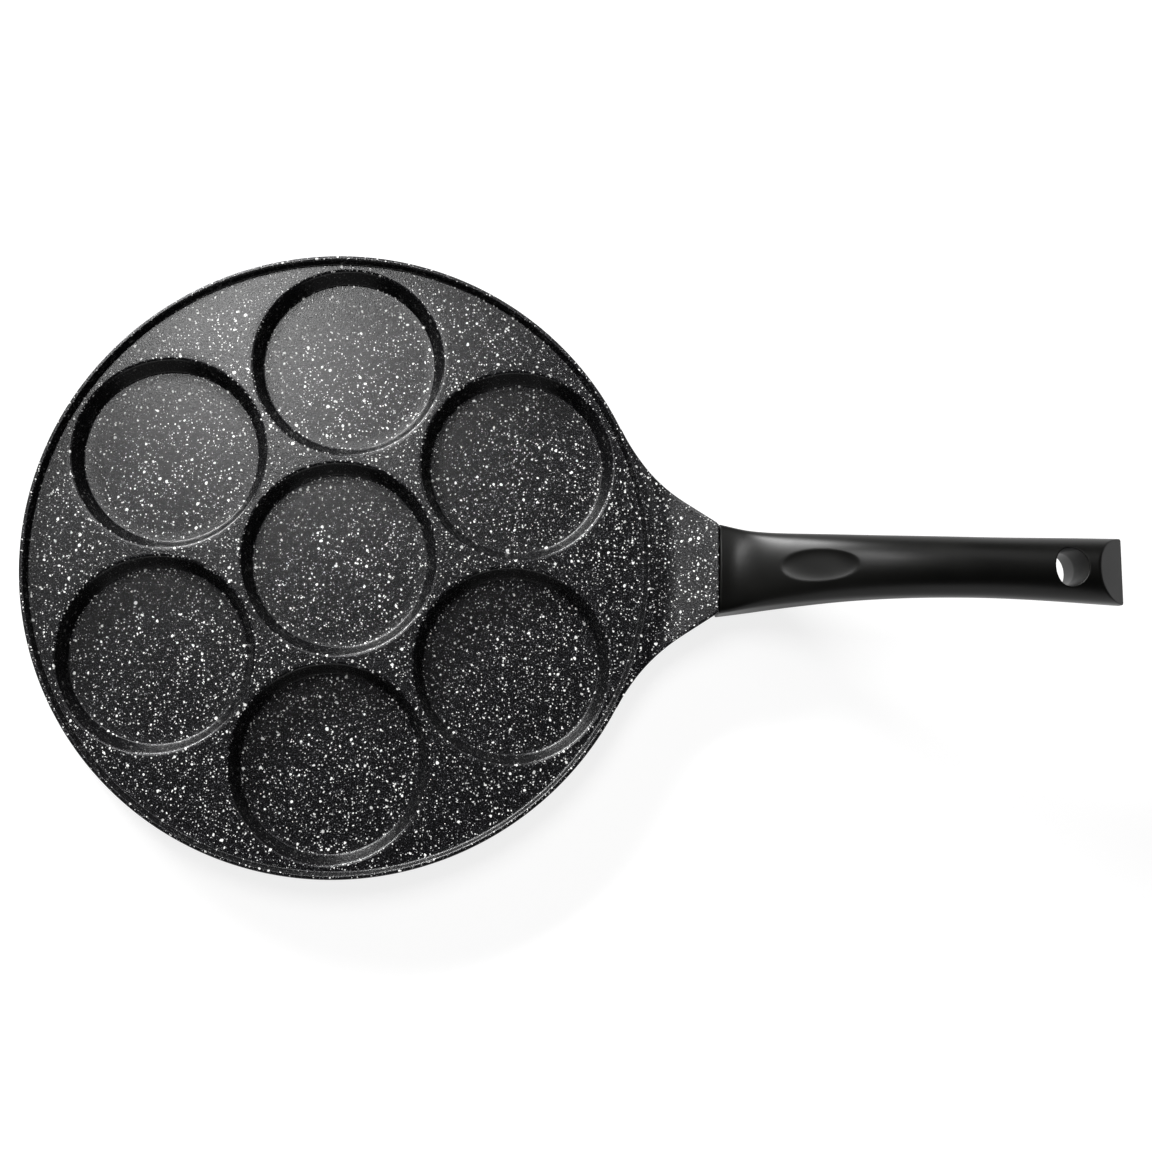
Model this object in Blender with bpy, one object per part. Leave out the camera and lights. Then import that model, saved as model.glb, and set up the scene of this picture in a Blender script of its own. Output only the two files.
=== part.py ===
"""Blini pan: a cast body with seven wells, its base disc, its moulded handle and the handle's screw.

The pan stands on z = 0 with the middle of its base at the origin. The handle points along +X.
All sizes are in metres.
"""
import math

import bmesh
import bpy
import numpy as np
from mathutils import Matrix, Vector

# Clearances
SEAT_GAP = 0.0003
JOINT_GAP = 0.0004
SCREW_CLEARANCE = 0.0003

# Base disc, pressed into the underside
DISC_RADIUS = 0.092
DISC_THICKNESS = 0.0008
DISC_STANDS_PROUD = 0.0002
DISC_SEGMENTS = 96
DISC_HOLE_RADIUS = 0.0025
DISC_HOLE_SIDES = 8
DISC_FIRST_RING_RADIUS = 0.030
DISC_RING_SPACING = 0.025
DISC_EDGE_MARGIN = 0.010
DISC_HOLES_FIRST_RING = 9
DISC_HOLES_MORE_PER_RING = 6

# Cast plate and its lip
LIP_RADIUS = 0.131
LIP_WIDTH = 0.0019
LIP_HEIGHT = 0.0040
LIP_ROUNDING = 0.0007
LIP_INNER_DRAFT = 0.0009
LIP_FOOT_FILLET = 0.0007
OUTER_WALL_DRAFT = 0.0030
BASE_EDGE_ROUNDING = 0.0018
BODY_SEGMENTS = 120

# Seven wells, cut into the plate
FLOOR_THICKNESS = 0.0032
WELL_DEPTH = 0.0077
WELL_TAPER = 0.00345
WELLS_ROUND_THE_MIDDLE = 6
LAND_BETWEEN_WELLS = 0.0038
LAND_TO_LIP = 0.0029
WELL_RIM_ROUNDING = 0.0012
WELL_FLOOR_FILLET = 0.0010
WELL_SEGMENTS = 48

# Neck between the lip and the handle
NECK_LENGTH = 0.0272
NECK_END_HALF_WIDTH = 0.0187
NECK_SIDE_ANGLE = math.radians(34.0)
NECK_SIDE_FILLET = 0.080
NECK_SIDE_DRAFT = 0.0004
NECK_BELOW_LIP = 0.0002
NECK_SLOPE_START = 0.0006
NECK_VALLEY_DROP = 0.0009
NECK_VALLEY_START = 0.0052
NECK_CLIMB_EASE = 1.3
NECK_BELOW_JOINT_TOP = 0.0008
NECK_ABOVE_JOINT_BOTTOM = 0.0012
NECK_EDGE_ROUNDING = 0.0009
NECK_ROOT_DEPTH = 0.0025
NECK_FILLET_STATIONS = 12
NECK_STRAIGHT_STATIONS = 6
NECK_LATERAL_STEPS = 12

# Handle: its spine is one Bezier curve in the XZ plane, from the joint to the end
HANDLE_REACH = 0.158
HANDLE_FRONT_ABOVE_PLATE = 0.0005
HANDLE_RISE = 0.0315
# The two pulls of the spine lie at shares of the reach, under the front end and over the far end
SPINE_FRONT_PULL_SHARE = 0.199
SPINE_FRONT_PULL_DROP = 0.0025
SPINE_BACK_PULL_SHARE = 0.224
SPINE_BACK_PULL_RISE = 0.0110
HANDLE_END_HALF_WIDTH = 0.0137
HANDLE_FRONT_HALF_HEIGHT = 0.0085
CROWN_HEIGHT = 0.0022
SIDE_LEAN = 0.0009
# Section tables: share of the reach, then the size there as a multiple of the value named above
HALF_WIDTHS = ((0.0, 1.43), (0.09, 1.29), (0.23, 1.153), (0.42, 1.015), (0.61, 0.934), (1.0, 1.0))
HALF_HEIGHTS = ((0.0, 1.0), (0.20, 1.012), (0.50, 1.106), (0.85, 1.235), (1.0, 1.212))
CROWN_HEIGHTS = ((0.0, 1.0), (0.25, 1.27), (0.50, 0.91), (1.0, 0.82))
SIDE_LEANS = ((0.0, 1.0), (0.20, 2.9), (0.36, 2.9), (0.60, 1.33), (1.0, 0.44))
SHOULDER_POWERS = ((0.0, 13.0), (0.10, 7.0), (0.22, 4.6), (0.45, 2.8), (0.70, 2.4), (1.0, 2.5))
UPRIGHT_FRONT_SHARE = 0.08
HANDLE_FRONT_ROUNDING = 0.0007
HANDLE_END_ROUNDING = 0.0010
HANDLE_STATIONS = 34
HANDLE_SECTION_POINTS = 36
HANDLE_SECTION_READINGS = 1440

# Thumb dimple, hanging hole and end facet of the handle
DIMPLE_FROM_JOINT = 0.0413
DIMPLE_HALF_LENGTH = 0.0204
DIMPLE_HALF_WIDTH = 0.0072
DIMPLE_DEPTH = 0.0016
DIMPLE_BALL_HEIGHT = 0.0048
DIMPLE_SEGMENTS = 32
DIMPLE_RINGS = 16
HANG_HOLE_FROM_END = 0.0253
HANG_HOLE_HALF_LENGTH = 0.0067
HANG_HOLE_HALF_WIDTH = 0.0077
HANG_HOLE_STEP = 0.0005
HANG_HOLE_EDGE = 0.0006
HANG_HOLE_LEAN = math.radians(2.0)
HANG_HOLE_SEGMENTS = 32
FACET_LENGTH = 0.0120
FACET_DROP = 0.0095

# Tang of the casting, in the handle's socket
TANG_LENGTH = 0.0260
TANG_HALF_WIDTH = 0.0120
TANG_TIP_HALF_WIDTH = 0.0100
TANG_HALF_HEIGHT = 0.0034
TANG_ABOVE_SPINE = 0.0018
TANG_ROOT_DEPTH = 0.0035
TANG_CORNER = 0.0012
TANG_STATIONS = 9

# Machine screw and its washers, from the handle's underside into the tang
SCREW_ALONG_TANG = 0.56
SCREW_RADIUS = 0.0025
SCREW_IN_TANG = 0.0060
SCREW_TIP_CHAMFER = 0.0005
SCREW_HEAD_RADIUS = 0.0044
SCREW_HEAD_HEIGHT = 0.0022
SCREW_HEAD_ROUNDING = 0.0012
DRIVER_SLOT_WIDTH = 0.0012
DRIVER_SLOT_DEPTH = 0.0013
DRIVER_SLOT_REACH = 0.0026
SCREW_SEGMENTS = 32
FLAT_WASHER_RIM = 0.0024
FLAT_WASHER_THICKNESS = 0.0007
SPRING_WASHER_RIM = 0.0018
SPRING_WASHER_THICKNESS = 0.0010
SPRING_WASHER_SPLIT = 0.0009
SPRING_WASHER_SPLIT_LEAN = math.radians(25.0)
WALL_UNDER_SOCKET = 0.0018
COUNTERBORE_CLEARANCE = 0.0004

# Levels and radii that follow from the sizes above
RECESS_TOP_Z = DISC_THICKNESS + SEAT_GAP
WELL_FLOOR_Z = RECESS_TOP_Z + FLOOR_THICKNESS
PLATE_TOP_Z = WELL_FLOOR_Z + WELL_DEPTH
LIP_TOP_Z = PLATE_TOP_Z + LIP_HEIGHT
LIP_FOOT_RADIUS = LIP_RADIUS - LIP_WIDTH - LIP_INNER_DRAFT
# Three rim radii and the two lands fill the way from the middle well's centre to the lip's foot
WELL_RIM_RADIUS = (LIP_FOOT_RADIUS - LAND_BETWEEN_WELLS - LAND_TO_LIP) / 3.0
WELL_FLOOR_RADIUS = WELL_RIM_RADIUS - WELL_TAPER
WELL_PITCH_RADIUS = 2.0 * WELL_RIM_RADIUS + LAND_BETWEEN_WELLS
NECK_END_X = LIP_RADIUS + NECK_LENGTH
HANDLE_FRONT_X = NECK_END_X + JOINT_GAP
HANDLE_END_X = HANDLE_FRONT_X + HANDLE_REACH
HANDLE_FRONT_Z = PLATE_TOP_Z + HANDLE_FRONT_ABOVE_PLATE
HANDLE_END_Z = HANDLE_FRONT_Z + HANDLE_RISE
NECK_UNDERSIDE_Z = HANDLE_FRONT_Z - HANDLE_FRONT_HALF_HEIGHT + NECK_ABOVE_JOINT_BOTTOM
SCREW_X = NECK_END_X + SCREW_ALONG_TANG * TANG_LENGTH
SCREW_HOLE_RADIUS = SCREW_RADIUS + SCREW_CLEARANCE
FLAT_WASHER_RADIUS = SCREW_HOLE_RADIUS + FLAT_WASHER_RIM
SPRING_WASHER_RADIUS = SCREW_HOLE_RADIUS + SPRING_WASHER_RIM
COUNTERBORE_RADIUS = max(FLAT_WASHER_RADIUS, SCREW_HEAD_RADIUS) + COUNTERBORE_CLEARANCE

# Levels along the screw, measured from the spine out of the handle's underside
TANG_UNDERSIDE = TANG_HALF_HEIGHT - TANG_ABOVE_SPINE
SCREW_SEAT = TANG_UNDERSIDE + SEAT_GAP + WALL_UNDER_SOCKET
FLAT_WASHER_LEVEL = SCREW_SEAT + SEAT_GAP
SPRING_WASHER_LEVEL = FLAT_WASHER_LEVEL + FLAT_WASHER_THICKNESS + SEAT_GAP
SCREW_HEAD_LEVEL = SPRING_WASHER_LEVEL + SPRING_WASHER_THICKNESS + SEAT_GAP
SCREW_HEAD_TOP = SCREW_HEAD_LEVEL + SCREW_HEAD_HEIGHT
SCREW_TIP = TANG_UNDERSIDE - SCREW_IN_TANG

# Modelling tolerances and the part of a rounding's radius that its middle point lies inside the corner
SAME_PLACE = 1e-7
SHARP_ANGLE = math.radians(32.0)
ROUNDING_STEPS = 2
EDGE_ROUNDING_STEPS = 3
ROUNDING_MIDDLE = 1.0 - math.cos(math.radians(45.0))


def clear_scene():
    """Remove every object of the scene."""
    for item in list(bpy.data.objects):
        bpy.data.objects.remove(item, do_unlink=True)


def make_material(name, colour, roughness, metallic):
    """Return a Principled material with one colour, given as red, green, blue."""
    material = bpy.data.materials.new(name)
    material.use_nodes = True
    shader = material.node_tree.nodes["Principled BSDF"]
    shader.inputs["Base Color"].default_value = (*colour, 1.0)
    shader.inputs["Roughness"].default_value = roughness
    shader.inputs["Metallic"].default_value = metallic
    return material


def finish_object(name, bm, material=None):
    """Turn a bmesh into a linked object with outward faces and smooth shading."""
    bmesh.ops.recalc_face_normals(bm, faces=bm.faces)
    mesh = bpy.data.meshes.new(name)
    bm.to_mesh(mesh)
    bm.free()
    mesh.shade_smooth()
    mesh.set_sharp_from_angle(angle=SHARP_ANGLE)
    item = bpy.data.objects.new(name, mesh)
    bpy.context.scene.collection.objects.link(item)
    if material is not None:
        mesh.materials.append(material)
    return item


def make_cutter(name, bm):
    """Turn a bmesh into a hidden wire object that only serves a Boolean."""
    item = finish_object(name, bm)
    item.hide_render = True
    item.display_type = "WIRE"
    return item


def add_boolean(item, other, operation):
    """Join or cut an object with another one by an exact Boolean modifier."""
    modifier = item.modifiers.new(f"{operation.lower()} {other.name}", "BOOLEAN")
    modifier.operation = operation
    modifier.solver = "EXACT"
    modifier.object = other


def add_turned(bm, profile, segments, centre=(0.0, 0.0)):
    """Add a solid turned about a vertical axis from (radius, height) points, given top to bottom."""
    fresh = [bm.verts.new((centre[0] + radius, centre[1], height)) for radius, height in profile]
    edges = [bm.edges.new(pair) for pair in zip(fresh, fresh[1:])]
    bmesh.ops.spin(
        bm,
        geom=fresh + edges,
        cent=(*centre, 0.0),
        axis=(0.0, 0.0, 1.0),
        angle=2.0 * math.pi,
        steps=segments,
        use_merge=True,
    )
    on_axis = [v for v in bm.verts if math.hypot(v.co.x - centre[0], v.co.y - centre[1]) < SAME_PLACE]
    bmesh.ops.remove_doubles(bm, verts=on_axis, dist=SAME_PLACE)


def add_loft(bm, rings, closed=False):
    """Add a solid through rings of points in one order: a closed tube, or one with flat end caps."""
    loops = [[bm.verts.new(point) for point in ring] for ring in rings]
    pairs = list(zip(loops, loops[1:]))
    if closed:
        pairs.append((loops[-1], loops[0]))
    for near, far in pairs:
        for index, _ in enumerate(near):
            after = (index + 1) % len(near)
            bm.faces.new((near[index], near[after], far[after], far[index]))
    if not closed:
        bm.faces.new(loops[0][::-1])
        bm.faces.new(loops[-1])


def rounded(corners, steps=ROUNDING_STEPS):
    """Return an outline through (across, up, radius) corners, with an arc of the radius at each corner.

    The ends of an open outline have no radius. An outline whose corners all have one is closed.
    """
    outline = []
    for index, (across, up, radius) in enumerate(corners):
        here = Vector((across, up))
        if radius == 0.0:
            outline.append(tuple(here))
            continue
        before = (Vector(corners[index - 1][:2]) - here).normalized()
        after = (Vector(corners[(index + 1) % len(corners)][:2]) - here).normalized()
        half_angle = before.angle(after) / 2.0
        centre = here + (before + after).normalized() * radius / math.sin(half_angle)
        first = here + before * radius / math.tan(half_angle) - centre
        last = here + after * radius / math.tan(half_angle) - centre
        turn = math.atan2(first.cross(last), first.dot(last))
        for step in range(steps + 1):
            outline.append(tuple(centre + Matrix.Rotation(turn * step / steps, 2) @ first))
    return outline


def smooth_through(stations, share):
    """Read a smooth curve through (share, value) stations, with the slope of a parabola at each station."""
    places, values = np.array(stations).T
    slopes = np.gradient(values, places)
    index = int(np.clip(np.searchsorted(places, share) - 1, 0, len(places) - 2))
    width = places[index + 1] - places[index]
    t = (share - places[index]) / width
    low, high = values[index], values[index + 1]
    low_slope, high_slope = slopes[index] * width, slopes[index + 1] * width
    return float(
        low * (1.0 + 2.0 * t) * (1.0 - t) ** 2
        + low_slope * t * (1.0 - t) ** 2
        + high * t ** 2 * (3.0 - 2.0 * t)
        - high_slope * t ** 2 * (1.0 - t)
    )


def spine_point(t):
    """Return the handle's spine at Bezier share t: its place and its direction in the XZ plane."""
    front = np.array((HANDLE_FRONT_X, HANDLE_FRONT_Z))
    end = np.array((HANDLE_END_X, HANDLE_END_Z))
    pull_front = front + np.array((SPINE_FRONT_PULL_SHARE * HANDLE_REACH, -SPINE_FRONT_PULL_DROP))
    pull_back = np.array((front[0] + SPINE_BACK_PULL_SHARE * HANDLE_REACH, end[1] + SPINE_BACK_PULL_RISE))
    s = 1.0 - t
    place = s ** 3 * front + 3.0 * s * s * t * pull_front + 3.0 * s * t * t * pull_back + t ** 3 * end
    tangent = s * s * (pull_front - front)
    tangent += 2.0 * s * t * (pull_back - pull_front)
    tangent += t * t * (end - pull_back)
    return place, tangent / np.linalg.norm(tangent)


def spine_at_x(x):
    """Return the spine's place and direction where it passes a given x, found by halving."""
    low, high = 0.0, 1.0
    while high - low > SAME_PLACE:
        middle = 0.5 * (low + high)
        if spine_point(middle)[0][0] < x:
            low = middle
        else:
            high = middle
    return spine_point(0.5 * (low + high))


def spine_frame(x):
    """Return the matrix of a frame on the spine: X along it, Y across the handle, Z square to both."""
    place, along = spine_at_x(x)
    columns = ((along[0], 0.0, along[1]), (0.0, 1.0, 0.0), (-along[1], 0.0, along[0]))
    frame = Matrix(columns).transposed().to_4x4()
    frame.translation = Vector((place[0], 0.0, place[1]))
    return frame


def screw_frame():
    """Return the screw's frame, on the spine, with Z pointing out of the handle's underside."""
    return spine_frame(SCREW_X) @ Matrix.Rotation(math.pi, 4, "X")


def handle_share(x):
    """Return how far along the handle's reach a given x lies."""
    return (x - HANDLE_FRONT_X) / HANDLE_REACH


def handle_half_height(share):
    """Return half the handle's height at a share of its reach."""
    return HANDLE_FRONT_HALF_HEIGHT * smooth_through(HALF_HEIGHTS, share)


def body_profile():
    """Return the cast body's outline from the middle of its top to the middle of its underside."""
    recess_radius = DISC_RADIUS + SEAT_GAP
    lip = [
        (0.0, PLATE_TOP_Z, 0.0),
        (LIP_FOOT_RADIUS, PLATE_TOP_Z, LIP_FOOT_FILLET),
        (LIP_RADIUS - LIP_WIDTH, LIP_TOP_Z, LIP_ROUNDING),
        (LIP_RADIUS, LIP_TOP_Z, LIP_ROUNDING),
        (LIP_RADIUS - OUTER_WALL_DRAFT, DISC_STANDS_PROUD, 0.0),
    ]
    base = [
        (LIP_RADIUS, LIP_TOP_Z, 0.0),
        (LIP_RADIUS - OUTER_WALL_DRAFT, DISC_STANDS_PROUD, BASE_EDGE_ROUNDING),
        (recess_radius, DISC_STANDS_PROUD, 0.0),
        (recess_radius, RECESS_TOP_Z, 0.0),
        (0.0, RECESS_TOP_Z, 0.0),
    ]
    return rounded(lip)[:-1] + rounded(base, EDGE_ROUNDING_STEPS)[1:]


def well_profile():
    """Return the outline of the space over and in one well, from its top down to the middle of its floor.

    The outline leaves the rim's rounding almost level, just over the plate, so that the cut runs out there.
    """
    above = LIP_TOP_Z + LIP_HEIGHT
    flare = WELL_RIM_RADIUS + 2.0 * WELL_RIM_ROUNDING
    just_over = PLATE_TOP_Z + ROUNDING_MIDDLE * WELL_RIM_ROUNDING / 2.0
    rim = rounded(
        [
            (flare, just_over, 0.0),
            (WELL_RIM_RADIUS, PLATE_TOP_Z, WELL_RIM_ROUNDING),
            (WELL_FLOOR_RADIUS, WELL_FLOOR_Z, 0.0),
        ],
        EDGE_ROUNDING_STEPS,
    )
    floor = rounded(
        [
            (WELL_RIM_RADIUS, PLATE_TOP_Z, 0.0),
            (WELL_FLOOR_RADIUS, WELL_FLOOR_Z, WELL_FLOOR_FILLET),
            (0.0, WELL_FLOOR_Z, 0.0),
        ]
    )
    return [(0.0, above), (flare, above)] + rim[:-1] + floor[1:]


def well_centres():
    """Return the seven centres: the middle one, then six round it, symmetric about the handle."""
    step = 2.0 * math.pi / WELLS_ROUND_THE_MIDDLE
    centres = [(0.0, 0.0)]
    for index in range(WELLS_ROUND_THE_MIDDLE):
        angle = step * (index + 0.5)
        centres.append((WELL_PITCH_RADIUS * math.cos(angle), WELL_PITCH_RADIUS * math.sin(angle)))
    return centres


def neck_outline():
    """Return points of the neck's side, from where it leaves the lip's circle to its end at the handle.

    A fillet touches the lip's circle outside and the straight side, so its centre lies one fillet radius
    from both.
    """
    normal = np.array([math.sin(NECK_SIDE_ANGLE), math.cos(NECK_SIDE_ANGLE)])
    end = np.array([NECK_END_X, NECK_END_HALF_WIDTH])
    reach = LIP_RADIUS + NECK_SIDE_FILLET
    turn = math.acos((end @ normal + NECK_SIDE_FILLET) / reach)
    leave = math.atan2(normal[1], normal[0]) - turn
    centre = reach * np.array([math.cos(leave), math.sin(leave)])
    touch = math.atan2(normal[1], normal[0]) + math.pi
    angles = np.linspace(leave + math.pi, touch, NECK_FILLET_STATIONS)
    fillet = [centre + NECK_SIDE_FILLET * np.array([math.cos(a), math.sin(a)]) for a in angles]
    shares = np.linspace(0.0, 1.0, NECK_STRAIGHT_STATIONS + 1)[1:]
    return fillet + [fillet[-1] + (end - fillet[-1]) * share for share in shares]


def neck_top(x):
    """Return the height of the neck's top along its middle line: level with the lip, down, then up.

    The climb's slope goes with the share of the way times a constant less that share.
    """
    slope_start = LIP_RADIUS + NECK_SLOPE_START
    start = LIP_RADIUS + NECK_VALLEY_START
    lip_level = LIP_TOP_Z - NECK_BELOW_LIP
    valley = LIP_TOP_Z - NECK_VALLEY_DROP
    joint = HANDLE_FRONT_Z + HANDLE_FRONT_HALF_HEIGHT - NECK_BELOW_JOINT_TOP
    if x <= start:
        share = max(0.0, (x - slope_start) / (start - slope_start))
        return lip_level + (valley - lip_level) * (1.0 - math.cos(math.pi * share)) / 2.0
    share = (x - start) / (NECK_END_X - start)
    climb = NECK_CLIMB_EASE * share ** 2 / 2.0 - share ** 3 / 3.0
    return valley + (joint - valley) * climb / (NECK_CLIMB_EASE / 2.0 - 1.0 / 3.0)


def neck_ring(side, middle_x, top):
    """Return one closed cross-section of the neck: across its top, down its side and back underneath."""
    edge_x, half_width = side
    inset = NECK_EDGE_ROUNDING / half_width
    inner = 1.0 - inset
    shoulder = 1.0 - ROUNDING_MIDDLE * inset
    foot = 1.0 - NECK_SIDE_DRAFT / half_width
    across = [(share * inner, top) for share in np.linspace(-1.0, 1.0, NECK_LATERAL_STEPS + 1)]
    shoulder_z = top - ROUNDING_MIDDLE * NECK_EDGE_ROUNDING
    right = [(shoulder, shoulder_z), (1.0, top - NECK_EDGE_ROUNDING), (foot, NECK_UNDERSIDE_Z)]
    left = [(-share, level) for share, level in reversed(right)]
    outline = across + right + [(share, NECK_UNDERSIDE_Z) for share in (0.5, 0.0, -0.5)] + left
    bow = edge_x - middle_x
    return [(middle_x + bow * share ** 2, half_width * share, level) for share, level in outline]


def build_neck():
    """Return the neck as a closed solid whose root lies inside the lip."""
    sides = neck_outline()
    root_angle = math.atan2(sides[0][1], sides[0][0])
    rings = []
    for radius, top in (
        (LIP_RADIUS - NECK_ROOT_DEPTH, PLATE_TOP_Z - NECK_ROOT_DEPTH),
        (LIP_RADIUS - LIP_WIDTH / 2.0, LIP_TOP_Z - NECK_BELOW_LIP),
    ):
        side = (radius * math.cos(root_angle), radius * math.sin(root_angle))
        rings.append(neck_ring(side, radius, top))
    for middle_x, side in zip(np.linspace(LIP_RADIUS, NECK_END_X, len(sides)), sides):
        rings.append(neck_ring(side, middle_x, neck_top(middle_x)))
    bm = bmesh.new()
    add_loft(bm, rings)
    return make_cutter("neck_form", bm)


def tang_rings(clearance, root_x, tip_x):
    """Return cross-sections of the tang along the spine, grown on every side by a clearance."""
    rings = []
    for x in np.linspace(root_x, tip_x, TANG_STATIONS):
        place, along = spine_at_x(max(x, HANDLE_FRONT_X))
        share = np.clip((x - NECK_END_X) / TANG_LENGTH, 0.0, 1.0)
        half_width = TANG_HALF_WIDTH + (TANG_TIP_HALF_WIDTH - TANG_HALF_WIDTH) * share + clearance
        half_height = TANG_HALF_HEIGHT + clearance
        corner = TANG_CORNER + clearance
        upward = np.array([-along[1], along[0]])
        centre = np.array([min(x, place[0]), place[1]]) + TANG_ABOVE_SPINE * upward
        signs = ((1, 1), (-1, 1), (-1, -1), (1, -1))
        outline = rounded([(side * half_width, level * half_height, corner) for side, level in signs])
        rise_x, rise_z = upward
        rings.append([(centre[0] + up * rise_x, across, centre[1] + up * rise_z) for across, up in outline])
    return rings


def build_tang():
    """Return the tang as a closed solid that starts inside the neck."""
    bm = bmesh.new()
    add_loft(bm, tang_rings(0.0, NECK_END_X - TANG_ROOT_DEPTH, NECK_END_X + TANG_LENGTH))
    return make_cutter("tang_form", bm)


def build_tang_bore():
    """Return the cutter of the screw's hole through the tang, run out past both its faces."""
    radius = SCREW_HOLE_RADIUS
    top = SCREW_SEAT + radius
    bottom = -TANG_HALF_HEIGHT - TANG_ABOVE_SPINE - radius
    bore = bmesh.new()
    add_turned(bore, [(0.0, top), (radius, top), (radius, bottom), (0.0, bottom)], SCREW_SEGMENTS // 2)
    item = make_cutter("tang_bore", bore)
    item.matrix_world = screw_frame()
    return item


def build_pan_casting(material):
    """Build the cast body: plate, lip, neck and tang joined, with the wells and screw's hole cut out."""
    bm = bmesh.new()
    add_turned(bm, body_profile(), BODY_SEGMENTS)
    casting = finish_object("pan_casting", bm, material)
    add_boolean(casting, build_neck(), "UNION")
    add_boolean(casting, build_tang(), "UNION")
    wells = bmesh.new()
    for centre in well_centres():
        add_turned(wells, well_profile(), WELL_SEGMENTS, centre)
    add_boolean(casting, make_cutter("well_spaces", wells), "DIFFERENCE")
    add_boolean(casting, build_tang_bore(), "DIFFERENCE")


def disc_hole_centres():
    """Return the centres of the disc's holes, in rings that fill the disc up to its margin."""
    last = DISC_RADIUS - DISC_EDGE_MARGIN
    centres = []
    for ring, radius in enumerate(np.arange(DISC_FIRST_RING_RADIUS, last, DISC_RING_SPACING)):
        count = DISC_HOLES_FIRST_RING + ring * DISC_HOLES_MORE_PER_RING
        for index in range(count):
            angle = 2.0 * math.pi * (index + 0.5 * (ring % 2)) / count
            centres.append((radius * math.cos(angle), radius * math.sin(angle)))
    return centres


def build_base_disc(material):
    """Build the perforated disc that sits in the recess of the underside."""
    top = DISC_THICKNESS
    bm = bmesh.new()
    add_turned(bm, [(0.0, top), (DISC_RADIUS, top), (DISC_RADIUS, 0.0), (0.0, 0.0)], DISC_SEGMENTS)
    disc = finish_object("base_disc", bm, material)
    holes = bmesh.new()
    for centre in disc_hole_centres():
        hole = [(0.0, 2.0 * top), (DISC_HOLE_RADIUS, 2.0 * top), (DISC_HOLE_RADIUS, -top), (0.0, -top)]
        add_turned(holes, hole, DISC_HOLE_SIDES, centre)
    add_boolean(disc, make_cutter("disc_holes", holes), "DIFFERENCE")


def handle_section(share, shrink):
    """Return one section of the handle as (across, up) points, from the middle of its top right round.

    Each half is a low parabola, the crown, plus a superellipse, whose power runs from boxy at the front
    to oval behind. The sides lean in towards the top. shrink draws the whole section in by a length, for
    the rounding of an end. The points lie closest where the outline turns: the step from one to the next
    is the same share of the outline's length and of its turning together.
    """
    half_width = HANDLE_END_HALF_WIDTH * smooth_through(HALF_WIDTHS, share) - shrink
    half_height = handle_half_height(share) - shrink
    crown = CROWN_HEIGHT * smooth_through(CROWN_HEIGHTS, share)
    lean = SIDE_LEAN * smooth_through(SIDE_LEANS, share)
    power = smooth_through(SHOULDER_POWERS, share)
    angles = math.pi / 2.0 + np.linspace(0.0, 2.0 * math.pi, HANDLE_SECTION_READINGS + 1)
    c, s = np.cos(angles), np.sin(angles)
    across = np.sign(c) * np.abs(c) ** (2.0 / power)
    up = np.sign(s) * (crown * (1.0 - across ** 2) + (half_height - crown) * np.abs(s) ** (2.0 / power))
    across *= half_width - lean * (1.0 + up / half_height) / 2.0
    lengths = np.hypot(np.diff(across), np.diff(up))
    headings = np.unwrap(np.arctan2(np.diff(up), np.diff(across)))
    turns = np.abs(np.diff(headings, append=headings[0] + 2.0 * math.pi))
    measure = np.concatenate(([0.0], np.cumsum(lengths / lengths.sum() + turns / turns.sum())))
    places = measure[-1] * np.arange(HANDLE_SECTION_POINTS) / HANDLE_SECTION_POINTS
    return list(zip(np.interp(places, measure, across), np.interp(places, measure, up)))


def handle_ring(x, shrink):
    """Return the handle's section at x, standing square to the spine but upright at the front face."""
    place, along = spine_at_x(x)
    share = handle_share(x)
    slope = math.atan2(along[1], along[0]) * min(1.0, share / UPRIGHT_FRONT_SHARE)
    section = handle_section(share, shrink)
    sine, cosine = math.sin(slope), math.cos(slope)
    return [(place[0] - up * sine, across, place[1] + up * cosine) for across, up in section]


def handle_stations():
    """Return (x, shrink) along the handle: two in each rounded end, and even steps between them."""
    front = HANDLE_FRONT_ROUNDING
    back = HANDLE_END_ROUNDING
    straight = np.linspace(HANDLE_FRONT_X + front, HANDLE_END_X - back, HANDLE_STATIONS)
    rounding = ((0.0, 1.0), (ROUNDING_MIDDLE, ROUNDING_MIDDLE))
    stations = [(HANDLE_FRONT_X + front * share, front * shrink) for share, shrink in rounding]
    stations += [(x, 0.0) for x in straight]
    stations += [(HANDLE_END_X - back * share, back * shrink) for share, shrink in reversed(rounding)]
    return stations


def build_dimple_form():
    """Return the cutter of the thumb dimple: a flattened ball that dips into the handle's crown."""
    x = HANDLE_FRONT_X + DIMPLE_FROM_JOINT
    crest = handle_half_height(handle_share(x))
    grow = 1.0 / math.sqrt(1.0 - (1.0 - DIMPLE_DEPTH / DIMPLE_BALL_HEIGHT) ** 2)
    size = Matrix.Diagonal((DIMPLE_HALF_LENGTH * grow, DIMPLE_HALF_WIDTH * grow, DIMPLE_BALL_HEIGHT, 1.0))
    lift = Matrix.Translation((0.0, 0.0, crest + DIMPLE_BALL_HEIGHT - DIMPLE_DEPTH))
    ball = bmesh.new()
    bmesh.ops.create_uvsphere(ball, u_segments=DIMPLE_SEGMENTS, v_segments=DIMPLE_RINGS, radius=1.0)
    bmesh.ops.transform(ball, matrix=spine_frame(x) @ lift @ size, verts=ball.verts)
    return make_cutter("dimple_form", ball)


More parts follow.
